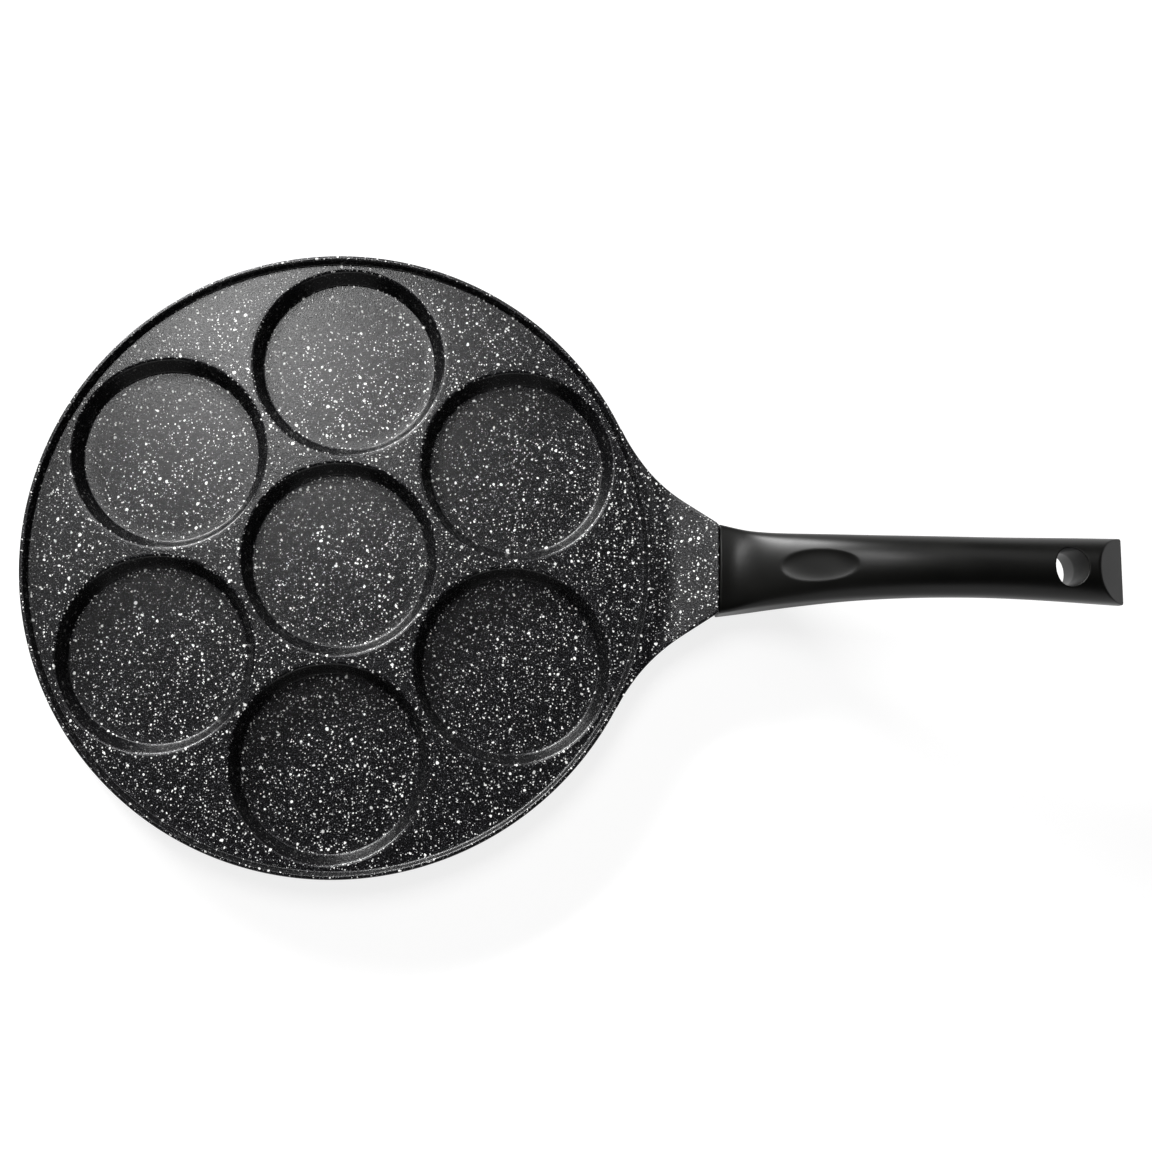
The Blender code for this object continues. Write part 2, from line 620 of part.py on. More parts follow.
def build_hang_hole_form():
    """Return the cutter of the hanging hole: a straight oval bore, flared at both faces.

    The bore is a little narrower below its middle, where the halves of the mould met.
    """
    x = HANDLE_END_X - HANG_HOLE_FROM_END
    face = handle_half_height(handle_share(x))
    flare_depth = 3.0 * HANG_HOLE_EDGE
    over = 2.0 * flare_depth
    flare = HANG_HOLE_EDGE * (1.0 + over / flare_depth)
    upper = HANG_HOLE_HALF_LENGTH
    lower = HANG_HOLE_HALF_LENGTH - HANG_HOLE_STEP
    top = face + over
    profile = [(0.0, top), (upper + flare, top), (upper, face - flare_depth), (upper, 0.0)]
    profile += [(lower, 0.0), (lower, flare_depth - face), (lower + flare, -top), (0.0, -top)]
    hole = bmesh.new()
    add_turned(hole, profile, HANG_HOLE_SEGMENTS)
    oval = Matrix.Diagonal((1.0, HANG_HOLE_HALF_WIDTH / HANG_HOLE_HALF_LENGTH, 1.0, 1.0))
    lean = Matrix.Rotation(HANG_HOLE_LEAN, 4, "Y")
    bmesh.ops.transform(hole, matrix=spine_frame(x) @ lean @ oval, verts=hole.verts)
    return make_cutter("hang_hole_form", hole)


def build_facet_form():
    """Return the cutter of the sloping facet at the handle's end: a block over the facet's plane."""
    crest = HANDLE_END_Z + handle_half_height(1.0)
    wide = 2.0 * HANDLE_END_HALF_WIDTH
    slope = Vector((FACET_LENGTH, 0.0, -FACET_DROP))
    lift = 2.0 * Vector((FACET_DROP, 0.0, FACET_LENGTH))
    start = Vector((HANDLE_END_X, 0.0, crest - FACET_DROP)) - 2.0 * slope
    stop = start + 3.0 * slope
    corners = (start, stop, stop + lift, start + lift)
    facet = bmesh.new()
    add_loft(facet, [[(corner.x, side, corner.z) for corner in corners] for side in (-wide, wide)])
    return make_cutter("facet_form", facet)


def build_socket_form():
    """Return the cutter of the tang's socket: the tang, grown by its clearance."""
    socket = bmesh.new()
    root_x = HANDLE_FRONT_X - TANG_ROOT_DEPTH
    add_loft(socket, tang_rings(SEAT_GAP, root_x, NECK_END_X + TANG_LENGTH + SEAT_GAP))
    return make_cutter("socket_form", socket)


def build_screw_seat_form():
    """Return the cutter of the screw's way in: a counterbore to its seat, then the hole to the socket."""
    deep = SCREW_HEAD_TOP + SCREW_HEAD_RADIUS
    counterbore = [(0.0, deep), (COUNTERBORE_RADIUS, deep), (COUNTERBORE_RADIUS, SCREW_SEAT)]
    seat = bmesh.new()
    bore = [(SCREW_HOLE_RADIUS, SCREW_SEAT), (SCREW_HOLE_RADIUS, 0.0), (0.0, 0.0)]
    add_turned(seat, counterbore + bore, SCREW_SEGMENTS)
    item = make_cutter("screw_seat_form", seat)
    item.matrix_world = screw_frame()
    return item


def build_handle(material):
    """Build the moulded handle: one loft along the spine, then its cuts."""
    bm = bmesh.new()
    add_loft(bm, [handle_ring(x, shrink) for x, shrink in handle_stations()])
    handle = finish_object("handle", bm, material)
    for build_form in (
        build_dimple_form,
        build_hang_hole_form,
        build_facet_form,
        build_socket_form,
        build_screw_seat_form,
    ):
        add_boolean(handle, build_form(), "DIFFERENCE")


def build_washer(name, outer, level, thickness, axis, material):
    """Build a flat ring round the screw's hole, from one level to the next along the screw's axis."""
    corners = [(SCREW_HOLE_RADIUS, 0.0), (outer, 0.0), (outer, thickness), (SCREW_HOLE_RADIUS, thickness)]
    rings = []
    for angle in 2.0 * math.pi * np.arange(SCREW_SEGMENTS) / SCREW_SEGMENTS:
        rings.append([(radius * math.cos(angle), radius * math.sin(angle), up) for radius, up in corners])
    bm = bmesh.new()
    add_loft(bm, rings, closed=True)
    washer = finish_object(name, bm, material)
    washer.parent = axis
    washer.location = (0.0, 0.0, level)
    return washer


def build_washer_split(axis):
    """Return the cutter of the spring washer's slanting split."""
    reach = SPRING_WASHER_RADIUS
    size = Matrix.Diagonal((2.0 * reach, SPRING_WASHER_SPLIT, 4.0 * SPRING_WASHER_THICKNESS, 1.0))
    lean = Matrix.Rotation(SPRING_WASHER_SPLIT_LEAN, 4, "X")
    middle = Matrix.Translation((reach, 0.0, SPRING_WASHER_THICKNESS / 2.0))
    split = bmesh.new()
    bmesh.ops.create_cube(split, size=1.0)
    bmesh.ops.transform(split, matrix=middle @ lean @ size, verts=split.verts)
    item = make_cutter("washer_split", split)
    item.parent = axis
    item.location = (0.0, 0.0, SPRING_WASHER_LEVEL)
    return item


def build_driver_recess(axis):
    """Return the cutter of the cross recess in the screw's head."""
    half_width = DRIVER_SLOT_WIDTH / 2.0
    arm = ((half_width, half_width), (half_width, DRIVER_SLOT_REACH), (-half_width, DRIVER_SLOT_REACH))
    outline = []
    for quarter in range(4):
        turn = Matrix.Rotation(math.pi / 2.0 * quarter, 2)
        outline += [turn @ Vector(corner) for corner in arm]
    levels = (SCREW_HEAD_TOP - DRIVER_SLOT_DEPTH, SCREW_HEAD_TOP + DRIVER_SLOT_DEPTH)
    cross = bmesh.new()
    add_loft(cross, [[(corner.x, corner.y, level) for corner in outline] for level in levels])
    item = make_cutter("driver_recess", cross)
    item.parent = axis
    return item


def build_screw(axis, material):
    """Build the screw: a domed head with a cross recess, and a plain shank with a chamfered tip."""
    outline = rounded(
        [
            (0.0, SCREW_HEAD_TOP, 0.0),
            (SCREW_HEAD_RADIUS, SCREW_HEAD_TOP, SCREW_HEAD_ROUNDING),
            (SCREW_HEAD_RADIUS, SCREW_HEAD_LEVEL, 0.0),
            (SCREW_RADIUS, SCREW_HEAD_LEVEL, 0.0),
            (SCREW_RADIUS, SCREW_TIP + SCREW_TIP_CHAMFER, 0.0),
            (SCREW_RADIUS - SCREW_TIP_CHAMFER, SCREW_TIP, 0.0),
            (0.0, SCREW_TIP, 0.0),
        ],
        EDGE_ROUNDING_STEPS,
    )
    bm = bmesh.new()
    add_turned(bm, outline, SCREW_SEGMENTS)
    screw = finish_object("handle_screw", bm, material)
    screw.parent = axis
    add_boolean(screw, build_driver_recess(axis), "DIFFERENCE")


def build_screw_set(material):
    """Build the screw, its flat washer and its split spring washer, all on the screw's own axis."""
    axis = bpy.data.objects.new("screw_axis", None)
    bpy.context.scene.collection.objects.link(axis)
    axis.matrix_world = screw_frame()
    build_washer("flat_washer", FLAT_WASHER_RADIUS, FLAT_WASHER_LEVEL, FLAT_WASHER_THICKNESS, axis, material)
    spring = build_washer(
        "spring_washer", SPRING_WASHER_RADIUS, SPRING_WASHER_LEVEL, SPRING_WASHER_THICKNESS, axis, material
    )
    add_boolean(spring, build_washer_split(axis), "DIFFERENCE")
    build_screw(axis, material)


def main():
    clear_scene()
    coating = make_material("coated_aluminium", (0.045, 0.045, 0.048), roughness=0.45, metallic=0.0)
    steel = make_material("stainless_steel", (0.55, 0.55, 0.56), roughness=0.30, metallic=1.0)
    moulding = make_material("black_moulding", (0.018, 0.018, 0.018), roughness=0.48, metallic=0.0)
    zinc = make_material("zinc_plated_steel", (0.60, 0.60, 0.61), roughness=0.35, metallic=1.0)
    build_pan_casting(coating)
    build_base_disc(steel)
    build_handle(moulding)
    build_screw_set(zinc)


main()
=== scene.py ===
"""Blini pan: its looks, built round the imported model. All sizes are in metres.

The file is laid out as an add-on: an operator builds each main piece, one finishes the screw set and one
sets up the stage, and a panel lists them.
The pan stands on z = 0 with its middle at the origin, and its handle points along +X.
"""
import math

import bmesh
import bpy
import numpy as np
from bpy.props import FloatProperty, PointerProperty, StringProperty
from mathutils import Matrix, Vector
from mathutils.geometry import delaunay_2d_cdt


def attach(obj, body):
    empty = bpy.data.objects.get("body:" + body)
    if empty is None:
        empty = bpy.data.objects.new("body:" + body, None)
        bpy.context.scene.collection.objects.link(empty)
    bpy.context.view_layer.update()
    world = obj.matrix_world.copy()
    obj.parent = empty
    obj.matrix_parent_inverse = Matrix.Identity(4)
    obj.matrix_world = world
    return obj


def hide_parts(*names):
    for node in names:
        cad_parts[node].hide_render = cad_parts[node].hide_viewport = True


bl_info = {
    "name": "Blini pan",
    "version": (1, 0, 0),
    "blender": (4, 5, 0),
    "location": "3D View > Sidebar > Blini pan",
    "description": "Builds the looks of a cast blini pan round its packed model",
    "category": "Object",
}

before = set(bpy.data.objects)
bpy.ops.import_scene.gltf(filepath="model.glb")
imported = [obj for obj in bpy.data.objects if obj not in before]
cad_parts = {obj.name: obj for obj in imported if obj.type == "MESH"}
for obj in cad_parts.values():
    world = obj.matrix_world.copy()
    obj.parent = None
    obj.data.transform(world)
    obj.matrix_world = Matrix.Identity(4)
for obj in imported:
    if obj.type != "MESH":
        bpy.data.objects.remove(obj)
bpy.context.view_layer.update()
BODY = "root"

# Mesh making
WELD = 1e-7
SHARP_ANGLE = math.radians(33.0)

# Cast plate, lip and wells
BASE_Z = 0.0002
RECESS_TOP_Z = 0.0011
PLATE_TOP_Z = 0.0120
LIP_INNER_DRAFT = 0.0009
LIP_ROUNDING = 0.0007
LIP_FOOT_FILLET = 0.0007
OUTER_WALL_DRAFT = 0.0030
BASE_EDGE_ROUNDING = 0.0018
BASE_TURNED_RADIUS = 0.1120
RECESS_RADIUS = 0.0923
LAND_BETWEEN_WELLS = 0.0038
LAND_TO_LIP = 0.0029
WELL_TAPER = 0.00345
WELL_RIM_ROUNDING = 0.0016
WELL_FLOOR_FILLET = 0.0010
OUTER_WELLS = 6
WELL_STEPS_FACING_LIP = 46
WELL_STEPS_BESIDE = 54
WELL_STEPS_INWARD = 20
WELL_FLOOR_RINGS = 8
LAND_RINGS = 7
ARC_STEPS = 6

# Neck and tang
NECK_SIDE_ANGLE = math.radians(34.0)
NECK_SIDE_FILLET = 0.080
NECK_SIDE_DRAFT = 0.0004
NECK_BELOW_LIP = 0.0002
NECK_VALLEY_DROP = 0.0009
NECK_SLOPE_START = 0.0006
NECK_VALLEY_START = 0.0052
NECK_CLIMB_EASE = 1.3
NECK_BELOW_JOINT_TOP = 0.0008
NECK_ABOVE_JOINT_BOTTOM = 0.0012
NECK_EDGE_ROUNDING = 0.0009
NECK_END_ROUNDING = 0.0005
NECK_ROOT_DEPTH = 0.0022
NECK_STATIONS_FILLET = 40
NECK_STATIONS_STRAIGHT = 36
NECK_ACROSS_STEPS = 48
JOINT_GAP = 0.0004
SEAT_GAP = 0.0003
TANG_LENGTH = 0.0260
TANG_HALF_WIDTHS = (0.0120, 0.0100)
TANG_HALF_HEIGHT = 0.0034
TANG_ABOVE_SPINE = 0.0018
TANG_POWER = 9.0
TANG_STATIONS = 14
TANG_POINTS = 96

# Handle: tables give the share of its reach, then the size there. A window for a hole has its reach along
# the handle and half its columns of the grid. A ring of a hole's waist has its flare and its height
HANDLE_FRONT_Z = 0.0125
SPINE_FRONT_PULL = (0.199, -0.0025)
SPINE_BACK_PULL = (0.224, 0.0110)
SPINE_READINGS = 4001
HALF_WIDTHS = (
    (0.0, 0.01959),
    (0.09, 0.01767),
    (0.23, 0.0158),
    (0.42, 0.01391),
    (0.61, 0.0128),
    (1.0, 0.0137),
)
HALF_HEIGHTS = ((0.0, 0.0085), (0.20, 0.0086), (0.50, 0.0094), (0.85, 0.0105), (1.0, 0.0103))
CROWN_HEIGHTS = ((0.0, 0.0022), (0.25, 0.0028), (0.50, 0.0020), (1.0, 0.0018))
SIDE_LEANS = ((0.0, 0.0009), (0.20, 0.0026), (0.36, 0.0026), (0.60, 0.0012), (1.0, 0.0004))
SHOULDER_POWERS = ((0.0, 13.0), (0.10, 7.0), (0.22, 4.6), (0.45, 2.8), (0.70, 2.4), (1.0, 2.5))
UPRIGHT_FRONT_SHARE = 0.08
HANDLE_FRONT_ROUNDING = 0.0007
HANDLE_END_ROUNDING = 0.0010
HANDLE_STATIONS = 268
FACET_STATIONS = 52
HANDLE_POINTS = 240
END_CAP_RINGS = 12
DIMPLE_FROM_FRONT = 0.0413
DIMPLE_HALF_SIZES = (0.0135, 0.0085)
DIMPLE_DEPTH = 0.0013
DIMPLE_SOFTNESS = 0.0002
FACET_LENGTH = 0.0120
FACET_DROP = 0.0095
FACET_SOFTNESS = 0.0005
HANG_HOLE_FROM_END = 0.0253
HANG_HOLE_HALF_SIZES = (0.0067, 0.0077)
HANG_HOLE_FOOT_STEP = 0.0005
HANG_HOLE_WAIST_STEP = 0.0010
HANG_HOLE_WAIST_RINGS = ((0.0001, 0.0006), (0.0, -0.0002), (0.0, -0.0010))
HANG_HOLE_EDGE = 0.0006
HANG_HOLE_LEAN = math.radians(2.0)
HANG_HOLE_WINDOW = (0.0105, 34)
SCREW_ALONG_TANG = 0.56
COUNTERBORE_RADIUS = 0.0056
COUNTERBORE_EDGE = 0.0004
COUNTERBORE_WINDOW = (0.0082, 20)
SCREW_SEAT_DEPTH = 0.0037
WINDOW_RINGS = 10
MEETING_ROUNDS = 12

# Base disc, with a radius and a count for each ring of holes, and the studs of cast metal in them
DISC_THICKNESS = 0.0008
DISC_SEGMENTS = 240
DISC_HOLE_RADIUS = 0.0025
DISC_HOLE_SEGMENTS = 32
DISC_RINGS = ((0.030, 9), (0.055, 15), (0.080, 21))
STUD_GAP = 0.00015
STUD_SHORT = 0.00005

# Finishes: a noise scale is in waves a metre, and noise lies mostly in the middle of its range. Each layer of
# the spatter has the size of its cells, the radii of its specks, the share of cells with one, and its colour
NOISE_MIDDLE = (0.3, 0.7)
COATING_INDEX = 1.38
COATING_GRAIN = {"Scale": 1900.0, "Detail": 2.0, "Roughness": 0.7}
COATING_GRAIN_RIDGES = (0.51, 0.65)
COATING_VEIL = {"Scale": 90.0, "Detail": 2.0}
COATING_VEIL_RANGE = (0.35, 0.65, 0.6)
COATING_PEEL = {"Scale": 1700.0, "Detail": 2.0}
COATING_PEEL_DEPTH = 0.000065
COATING_GLOSS_SPREAD = (-0.05, 0.07)
SPATTER = (
    (0.0008, (0.00012, 0.00027), 0.58, "grey_fleck"),
    (0.0011, (0.00016, 0.00034), 0.40, "fleck"),
    (0.0017, (0.00024, 0.00044), 0.62, "fleck"),
    (0.0033, (0.00040, 0.00078), 0.66, "fleck"),
)
SPATTER_DRIFT = {"Scale": 620.0, "Detail": 1.0}
SPATTER_DRIFT_REACH = 0.0011
SPECK_CORE = 0.72
SPECK_LEVELS = (0.6, 0.45)
# Share of flecks and mottle on steep walls facing up: partly the spray, partly painted shade on those walls
STEEP_SHARE = 0.09
LEVEL_RISES = (0.70, 0.94)
OUTSIDE_RISES = (0.16, 0.04)
MOULDING_SPECULAR = 0.22
MOULDING_GRAIN = {"Scale": 2400.0, "Detail": 2.0}
MOULDING_GRAIN_DEPTH = 0.000006
MOULDING_FLOW = {"Scale": 45.0, "Detail": 3.0}
MOULDING_FLOW_SHADE = 1.35
MOULDING_GLOSS_SPREAD = (-0.03, 0.03)
TURNING = {"Scale": 1.0 / 0.0008, "Detail": 3.0, "Roughness": 0.7}
PLATING = {"Scale": 900.0, "Detail": 2.0}

# Stage: the floor is seen from above only, and it and the backdrop glow at one level. A lamp has its sides,
# then its tilt from the vertical and its heading in degrees, and its distance from the pan's middle
FLOOR_REACH = 4.0
FLOOR_BELOW = 0.0005
FLOOR_ROUGHNESS = 0.9
BACKDROP_LEVEL = 0.82
WHITE = (1.0, 1.0, 1.0, 1.0)
LAMPS = {
    "sheen_strip": ((0.32, 0.70), 29.5, 114.5, 1.6),
    "rim_strip": ((1.0, 0.15), 70.0, 122.0, 1.6),
    "back_panel": ((1.2, 0.8), 42.0, 55.0, 1.6),
    "front_panel": ((2.0, 0.8), 76.0, 275.0, 1.8),
    "neck_panel": ((0.5, 0.4), 28.0, 155.0, 1.6),
}
CAMERA_PLACE = (0.0487, -0.0912, 0.612)
CAMERA_DEGREES = (9.90, -2.19, 1.65)
CAMERA_LENS = 45.28
CAMERA_SENSOR = 36.0
CAMERA_SHIFT = (0.0625, -0.040)


def metres(name, default, description):
    """Return a property for a length."""
    return FloatProperty(name=name, default=default, description=description, unit="LENGTH", precision=5)


def watts(name, default, description):
    """Return a property for a lamp's power."""
    return FloatProperty(name=name, default=default, description=description, unit="POWER")


def fraction(name, default, description):
    """Return a property for a number from 0 to 1."""
    limits = {"min": 0.0, "max": 1.0}
    return FloatProperty(name=name, default=default, description=description, subtype="FACTOR", **limits)


def hex_colour(name, default, description):
    """Return a property for a colour, kept as an sRGB hex code."""
    return StringProperty(name=name, default=default, description=description)


class BliniPanSizes(bpy.types.PropertyGroup):
    """Sizes of the pan that a user would change."""

    lip_radius: metres("Lip radius", 0.131, "Outer radius of the lip")
    lip_width: metres("Lip width", 0.0019, "Width of the lip's top")
    lip_height: metres("Lip height", 0.0040, "Height of the lip over the plate")
    well_depth: metres("Well depth", 0.0077, "Depth of each well under the plate")
    neck_length: metres("Neck length", 0.0272, "Length of the neck from the lip to the handle")
    neck_end_half_width: metres("Neck half width", 0.0187, "Half the neck's width at the handle")
    handle_reach: metres("Handle reach", 0.158, "Length of the handle along the pan")
    handle_rise: metres("Handle rise", 0.0315, "Rise of the handle's middle line")
    disc_radius: metres("Disc radius", 0.092, "Radius of the base disc")


class BliniPanColours(bpy.types.PropertyGroup):
    """Colours and gloss of the pan's finishes."""

    coating: hex_colour("Coating", "#09090a", "Ground colour of the non-stick coating")
    mottle: hex_colour("Mottling", "#2e2e31", "Lighter grey mottling of the coating")
    fleck: hex_colour("Flecks", "#f2f2f0", "White flecks of the coating")
    grey_fleck: hex_colour("Grey flecks", "#8c8c8e", "Grey flecks of the coating")
    moulding: hex_colour("Moulding", "#0a0a09", "Black of the handle's moulding")
    aluminium: hex_colour("Aluminium", "#d9dadb", "Turned aluminium of the base")
    steel: hex_colour("Steel", "#c4c3c1", "Ground stainless steel of the base disc")
    zinc: hex_colour("Zinc", "#cfd0d2", "Zinc plating of the screw and washers")
    coating_roughness: fraction("Coating roughness", 0.23, "Roughness of the non-stick coating")
    moulding_roughness: fraction("Moulding roughness", 0.36, "Roughness of the handle's moulding")


class BliniPanStage(bpy.types.PropertyGroup):
    """Light and floor round the pan."""

    sheen_strip: watts("Sheen strip", 13.0, "Power of the high strip, which gives the flat faces their sheen")
    rim_strip: watts("Rim strip", 66.0, "Power of the low strip, which lights the edges")
    back_panel: watts("Back panel", 3.7, "Power of the panel behind the handle")
    front_panel: watts("Front panel", 7.0, "Power of the low panel in front")
    neck_panel: watts("Neck panel", 0.9, "Power of the small panel that the neck mirrors")
    sky: FloatProperty(name="Sky", default=0.005, description="Strength of the even light all round")
    floor: hex_colour("Floor", "#888888", "Colour of the floor")


def plate_radii(sizes):
    """Return the radius of the lip's foot, of a well's rim, and of the ring of well centres."""
    foot = sizes.lip_radius - sizes.lip_width - LIP_INNER_DRAFT
    rim = (foot - LAND_BETWEEN_WELLS - LAND_TO_LIP) / 3.0
    return foot, rim, 2.0 * rim + LAND_BETWEEN_WELLS


def neck_end(sizes):
    """Return the x of the neck's end, where the tang comes out."""
    return sizes.lip_radius + sizes.neck_length


def handle_front(sizes):
    """Return the x of the handle's front face."""
    return neck_end(sizes) + JOINT_GAP


def share_along(sizes, x):
    """Return x as a share of the handle's reach."""
    return (x - handle_front(sizes)) / sizes.handle_reach


def rounded(corners):
    """Return an outline through (across, up, radius) corners as an array of points.

    Each corner becomes an arc that touches both of its sides: its centre lies on the line that halves the
    corner, one radius over the sine of half the corner's angle away. A radius of 0 keeps the point.
    """
    outline = []
    for index, (across, up, radius) in enumerate(corners):
        here = np.array((across, up))
        if radius == 0.0:
            outline.append(here[None])
            continue
        before = np.array(corners[index - 1][:2]) - here
        after = np.array(corners[index + 1][:2]) - here
        before /= np.linalg.norm(before)
        after /= np.linalg.norm(after)
        half_angle = math.acos(np.clip(before @ after, -1.0, 1.0)) / 2.0
        middle = (before + after) / np.linalg.norm(before + after)
        centre = here + middle * radius / math.sin(half_angle)
        first = here + before * radius / math.tan(half_angle) - centre
        last = here + after * radius / math.tan(half_angle) - centre
        turn = math.atan2(first[0] * last[1] - first[1] * last[0], first @ last)
        angles = turn * np.linspace(0.0, 1.0, ARC_STEPS + 1)
        cosine, sine = np.cos(angles), np.sin(angles)
        arc = np.stack((first[0] * cosine - first[1] * sine, first[0] * sine + first[1] * cosine), axis=1)
        outline.append(centre + arc)
    return np.vstack(outline)


def smooth_through(table, share):
    """Read a smooth curve through (share, value) stations: cubics with a parabola's slope at each station."""
    places, values = np.array(table).T
    slopes = np.gradient(values, places)
    share = np.clip(share, 0.0, 1.0)
    index = np.clip(np.searchsorted(places, share) - 1, 0, len(places) - 2)
    width = places[index + 1] - places[index]
    t = (share - places[index]) / width
    rise = values[index] * (1.0 + 2.0 * t) * (1.0 - t) ** 2 + values[index + 1] * t ** 2 * (3.0 - 2.0 * t)
    lean = slopes[index] * t * (1.0 - t) ** 2 - slopes[index + 1] * t ** 2 * (1.0 - t)
    return rise + lean * width


def soft_minimum(first, second, softness):
    """Return the lower of two heights, with the corner between them rounded over a range of heights."""
    near = np.clip(1.0 - np.abs(first - second) / softness, 0.0, None)
    return np.minimum(first, second) - near ** 2 * softness / 4.0


def ring_sheet(rings, window=None, slot=0):
    """Return a grid of points as (points, faces, slot): each cell between two rings is one face.

    The rings close on themselves, and a window leaves some cells out.
    """
    index = np.arange(rings.shape[0] * rings.shape[1]).reshape(rings.shape[:2])
    index = np.hstack((index, index[:, :1]))
    faces = np.stack((index[:-1, :-1], index[1:, :-1], index[1:, 1:], index[:-1, 1:]), axis=-1)
    if window is not None:
        faces = faces[~window]
    return rings.reshape(-1, 3), faces.reshape(-1, 4), slot


def make_piece(name, sheets, materials, node):
    """Weld sheets of points and faces into one piece with outward faces, which rides on the pan and replaces
    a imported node.

    Points that round to one place become one point. A face whose corners meet there loses a corner, and
    one with fewer than three corners left is dropped.
    """
    points = np.vstack([sheet[0] for sheet in sheets])
    starts = np.cumsum([0] + [len(sheet[0]) for sheet in sheets[:-1]])
    faces = np.vstack([sheet[1] + start for sheet, start in zip(sheets, starts)])
    slots = np.concatenate([np.full(len(sheet[1]), sheet[2]) for sheet in sheets])
    keys = np.round(points / WELD).astype(np.int64)
    _, first, inverse = np.unique(keys, axis=0, return_index=True, return_inverse=True)
    faces = inverse.ravel()[faces]
    corners = faces != np.roll(faces, -1, axis=1)
    whole = corners.sum(axis=1) > 2
    faces, corners, slots = faces[whole], corners[whole], slots[whole]
    ends = np.cumsum(corners.sum(axis=1))
    mesh = bpy.data.meshes.new(name)
    mesh.vertices.add(len(first))
    mesh.vertices.foreach_set("co", points[first].astype(np.float32).ravel())
    mesh.loops.add(int(ends[-1]))
    mesh.loops.foreach_set("vertex_index", faces[corners].astype(np.int32))
    mesh.polygons.add(len(faces))
    mesh.polygons.foreach_set("loop_start", np.append(0, ends[:-1]).astype(np.int32))
    mesh.polygons.foreach_set("material_index", slots.astype(np.int32))
    mesh.update(calc_edges=True)
    clean = bmesh.new()
    clean.from_mesh(mesh)
    bmesh.ops.recalc_face_normals(clean, faces=clean.faces)
    clean.to_mesh(mesh)
    clean.free()
    mesh.shade_smooth()
    mesh.set_sharp_from_angle(angle=SHARP_ANGLE)
    for material in materials:
        mesh.materials.append(material)
    piece = bpy.data.objects.new(name, mesh)
    bpy.context.scene.collection.objects.link(piece)
    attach(piece, BODY)
    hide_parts(node)


def turned(radius, height, angles, centre=(0.0, 0.0)):
    """Return a grid turned about a vertical axis, with a ring for each radius and height."""
    x = centre[0] + radius * np.cos(angles)
    y = centre[1] + radius * np.sin(angles)
    return np.stack(np.broadcast_arrays(x, y, height), axis=-1)


def well_profile(sizes, rim):
    """Return a well's (radius, height) points from its floor's middle to the level land round its rim."""
    floor = rim - WELL_TAPER
    low = PLATE_TOP_Z - sizes.well_depth
    corners = [
        (0.0, low, 0.0),
        (floor, low, WELL_FLOOR_FILLET),
        (rim, PLATE_TOP_Z, WELL_RIM_ROUNDING),
        (2.0 * rim, PLATE_TOP_Z, 0.0),
    ]
    outline = rounded(corners)[:-1]
    flat = np.linspace(0.0, outline[1][0], WELL_FLOOR_RINGS + 1)[:-1]
    return np.vstack((np.stack((flat, np.full_like(flat, low)), axis=1), outline[1:]))


def well_cell(sizes, centre, heading, angles, reach):
    """Return one well with its share of the land round it, in rings.

    Inside the rim the rings are circles. Outside it, a ring lies at the same share of the way from the
    rim to the cell's own edge at every angle, and the cells' edges meet midway between the wells.
    """
    _, rim, _ = plate_radii(sizes)
    profile = well_profile(sizes, rim)
    start = profile[-1, 0]
    shares = np.linspace(0.0, 1.0, LAND_RINGS + 1)[1:, None]
    land = start + (reach - start) * shares
    radius = np.vstack((np.broadcast_to(profile[:, :1], (len(profile), len(angles))), land))
    height = np.concatenate((profile[:, 1], np.full(LAND_RINGS, PLATE_TOP_Z)))[:, None]
    return ring_sheet(turned(radius, height, angles + heading, centre))


def even_angles(corners, steps):
    """Return angles in even steps between one corner angle and the next, without the last corner."""
    spans = zip(corners, corners[1:], steps)
    return np.concatenate([np.linspace(low, high, count, endpoint=False) for low, high, count in spans])


def plate_sheets(sizes, foot_radius):
    """Return the seven wells' cells, and the angles at which the outer cells meet the lip's foot.

    A cell's edge lies at half the pitch over the cosine of the angle to the next well, or on the circle
    of the lip's foot. Corners of the cells are always points of both cells, so neighbours weld.
    """
    _, _, pitch = plate_radii(sizes)
    sixth = math.pi / 3.0
    halves = 2 * OUTER_WELLS
    inward = even_angles(np.arange(halves + 1) * sixth / 2.0, [WELL_STEPS_INWARD] * halves)
    nearest = np.round((inward - sixth / 2.0) / sixth) * sixth + sixth / 2.0
    sheets = [well_cell(sizes, (0.0, 0.0), 0.0, inward, pitch / 2.0 / np.cos(inward - nearest))]
    corner = math.atan2(foot_radius * math.sin(sixth / 2.0), foot_radius * math.cos(sixth / 2.0) - pitch)
    steps = (WELL_STEPS_FACING_LIP, WELL_STEPS_BESIDE, WELL_STEPS_INWARD)
    half = even_angles((0.0, corner, 2.5 * sixth, 3.0 * sixth), steps)
    angles = np.concatenate((half, [math.pi], -half[:0:-1]))
    along = pitch * np.cos(angles)
    reach = np.sqrt(foot_radius ** 2 - (pitch * np.sin(angles)) ** 2) - along
    for facing in (math.pi, 2.0 * sixth, -2.0 * sixth):
        reach = np.minimum(reach, pitch / 2.0 / np.clip(np.cos(angles - facing), 1e-6, None))
    facing_lip = np.abs(angles) < corner - WELD
    meeting = []
    for index in range(OUTER_WELLS):
        heading = sixth * (index + 0.5)
        centre = (pitch * math.cos(heading), pitch * math.sin(heading))
        sheets.append(well_cell(sizes, centre, heading, angles, reach))
        turn = np.arctan2(reach * np.sin(angles), pitch + reach * np.cos(angles))
        meeting.append(np.append(np.sort(turn[facing_lip]), sixth / 2.0) + heading)
    return sheets, np.concatenate(meeting)


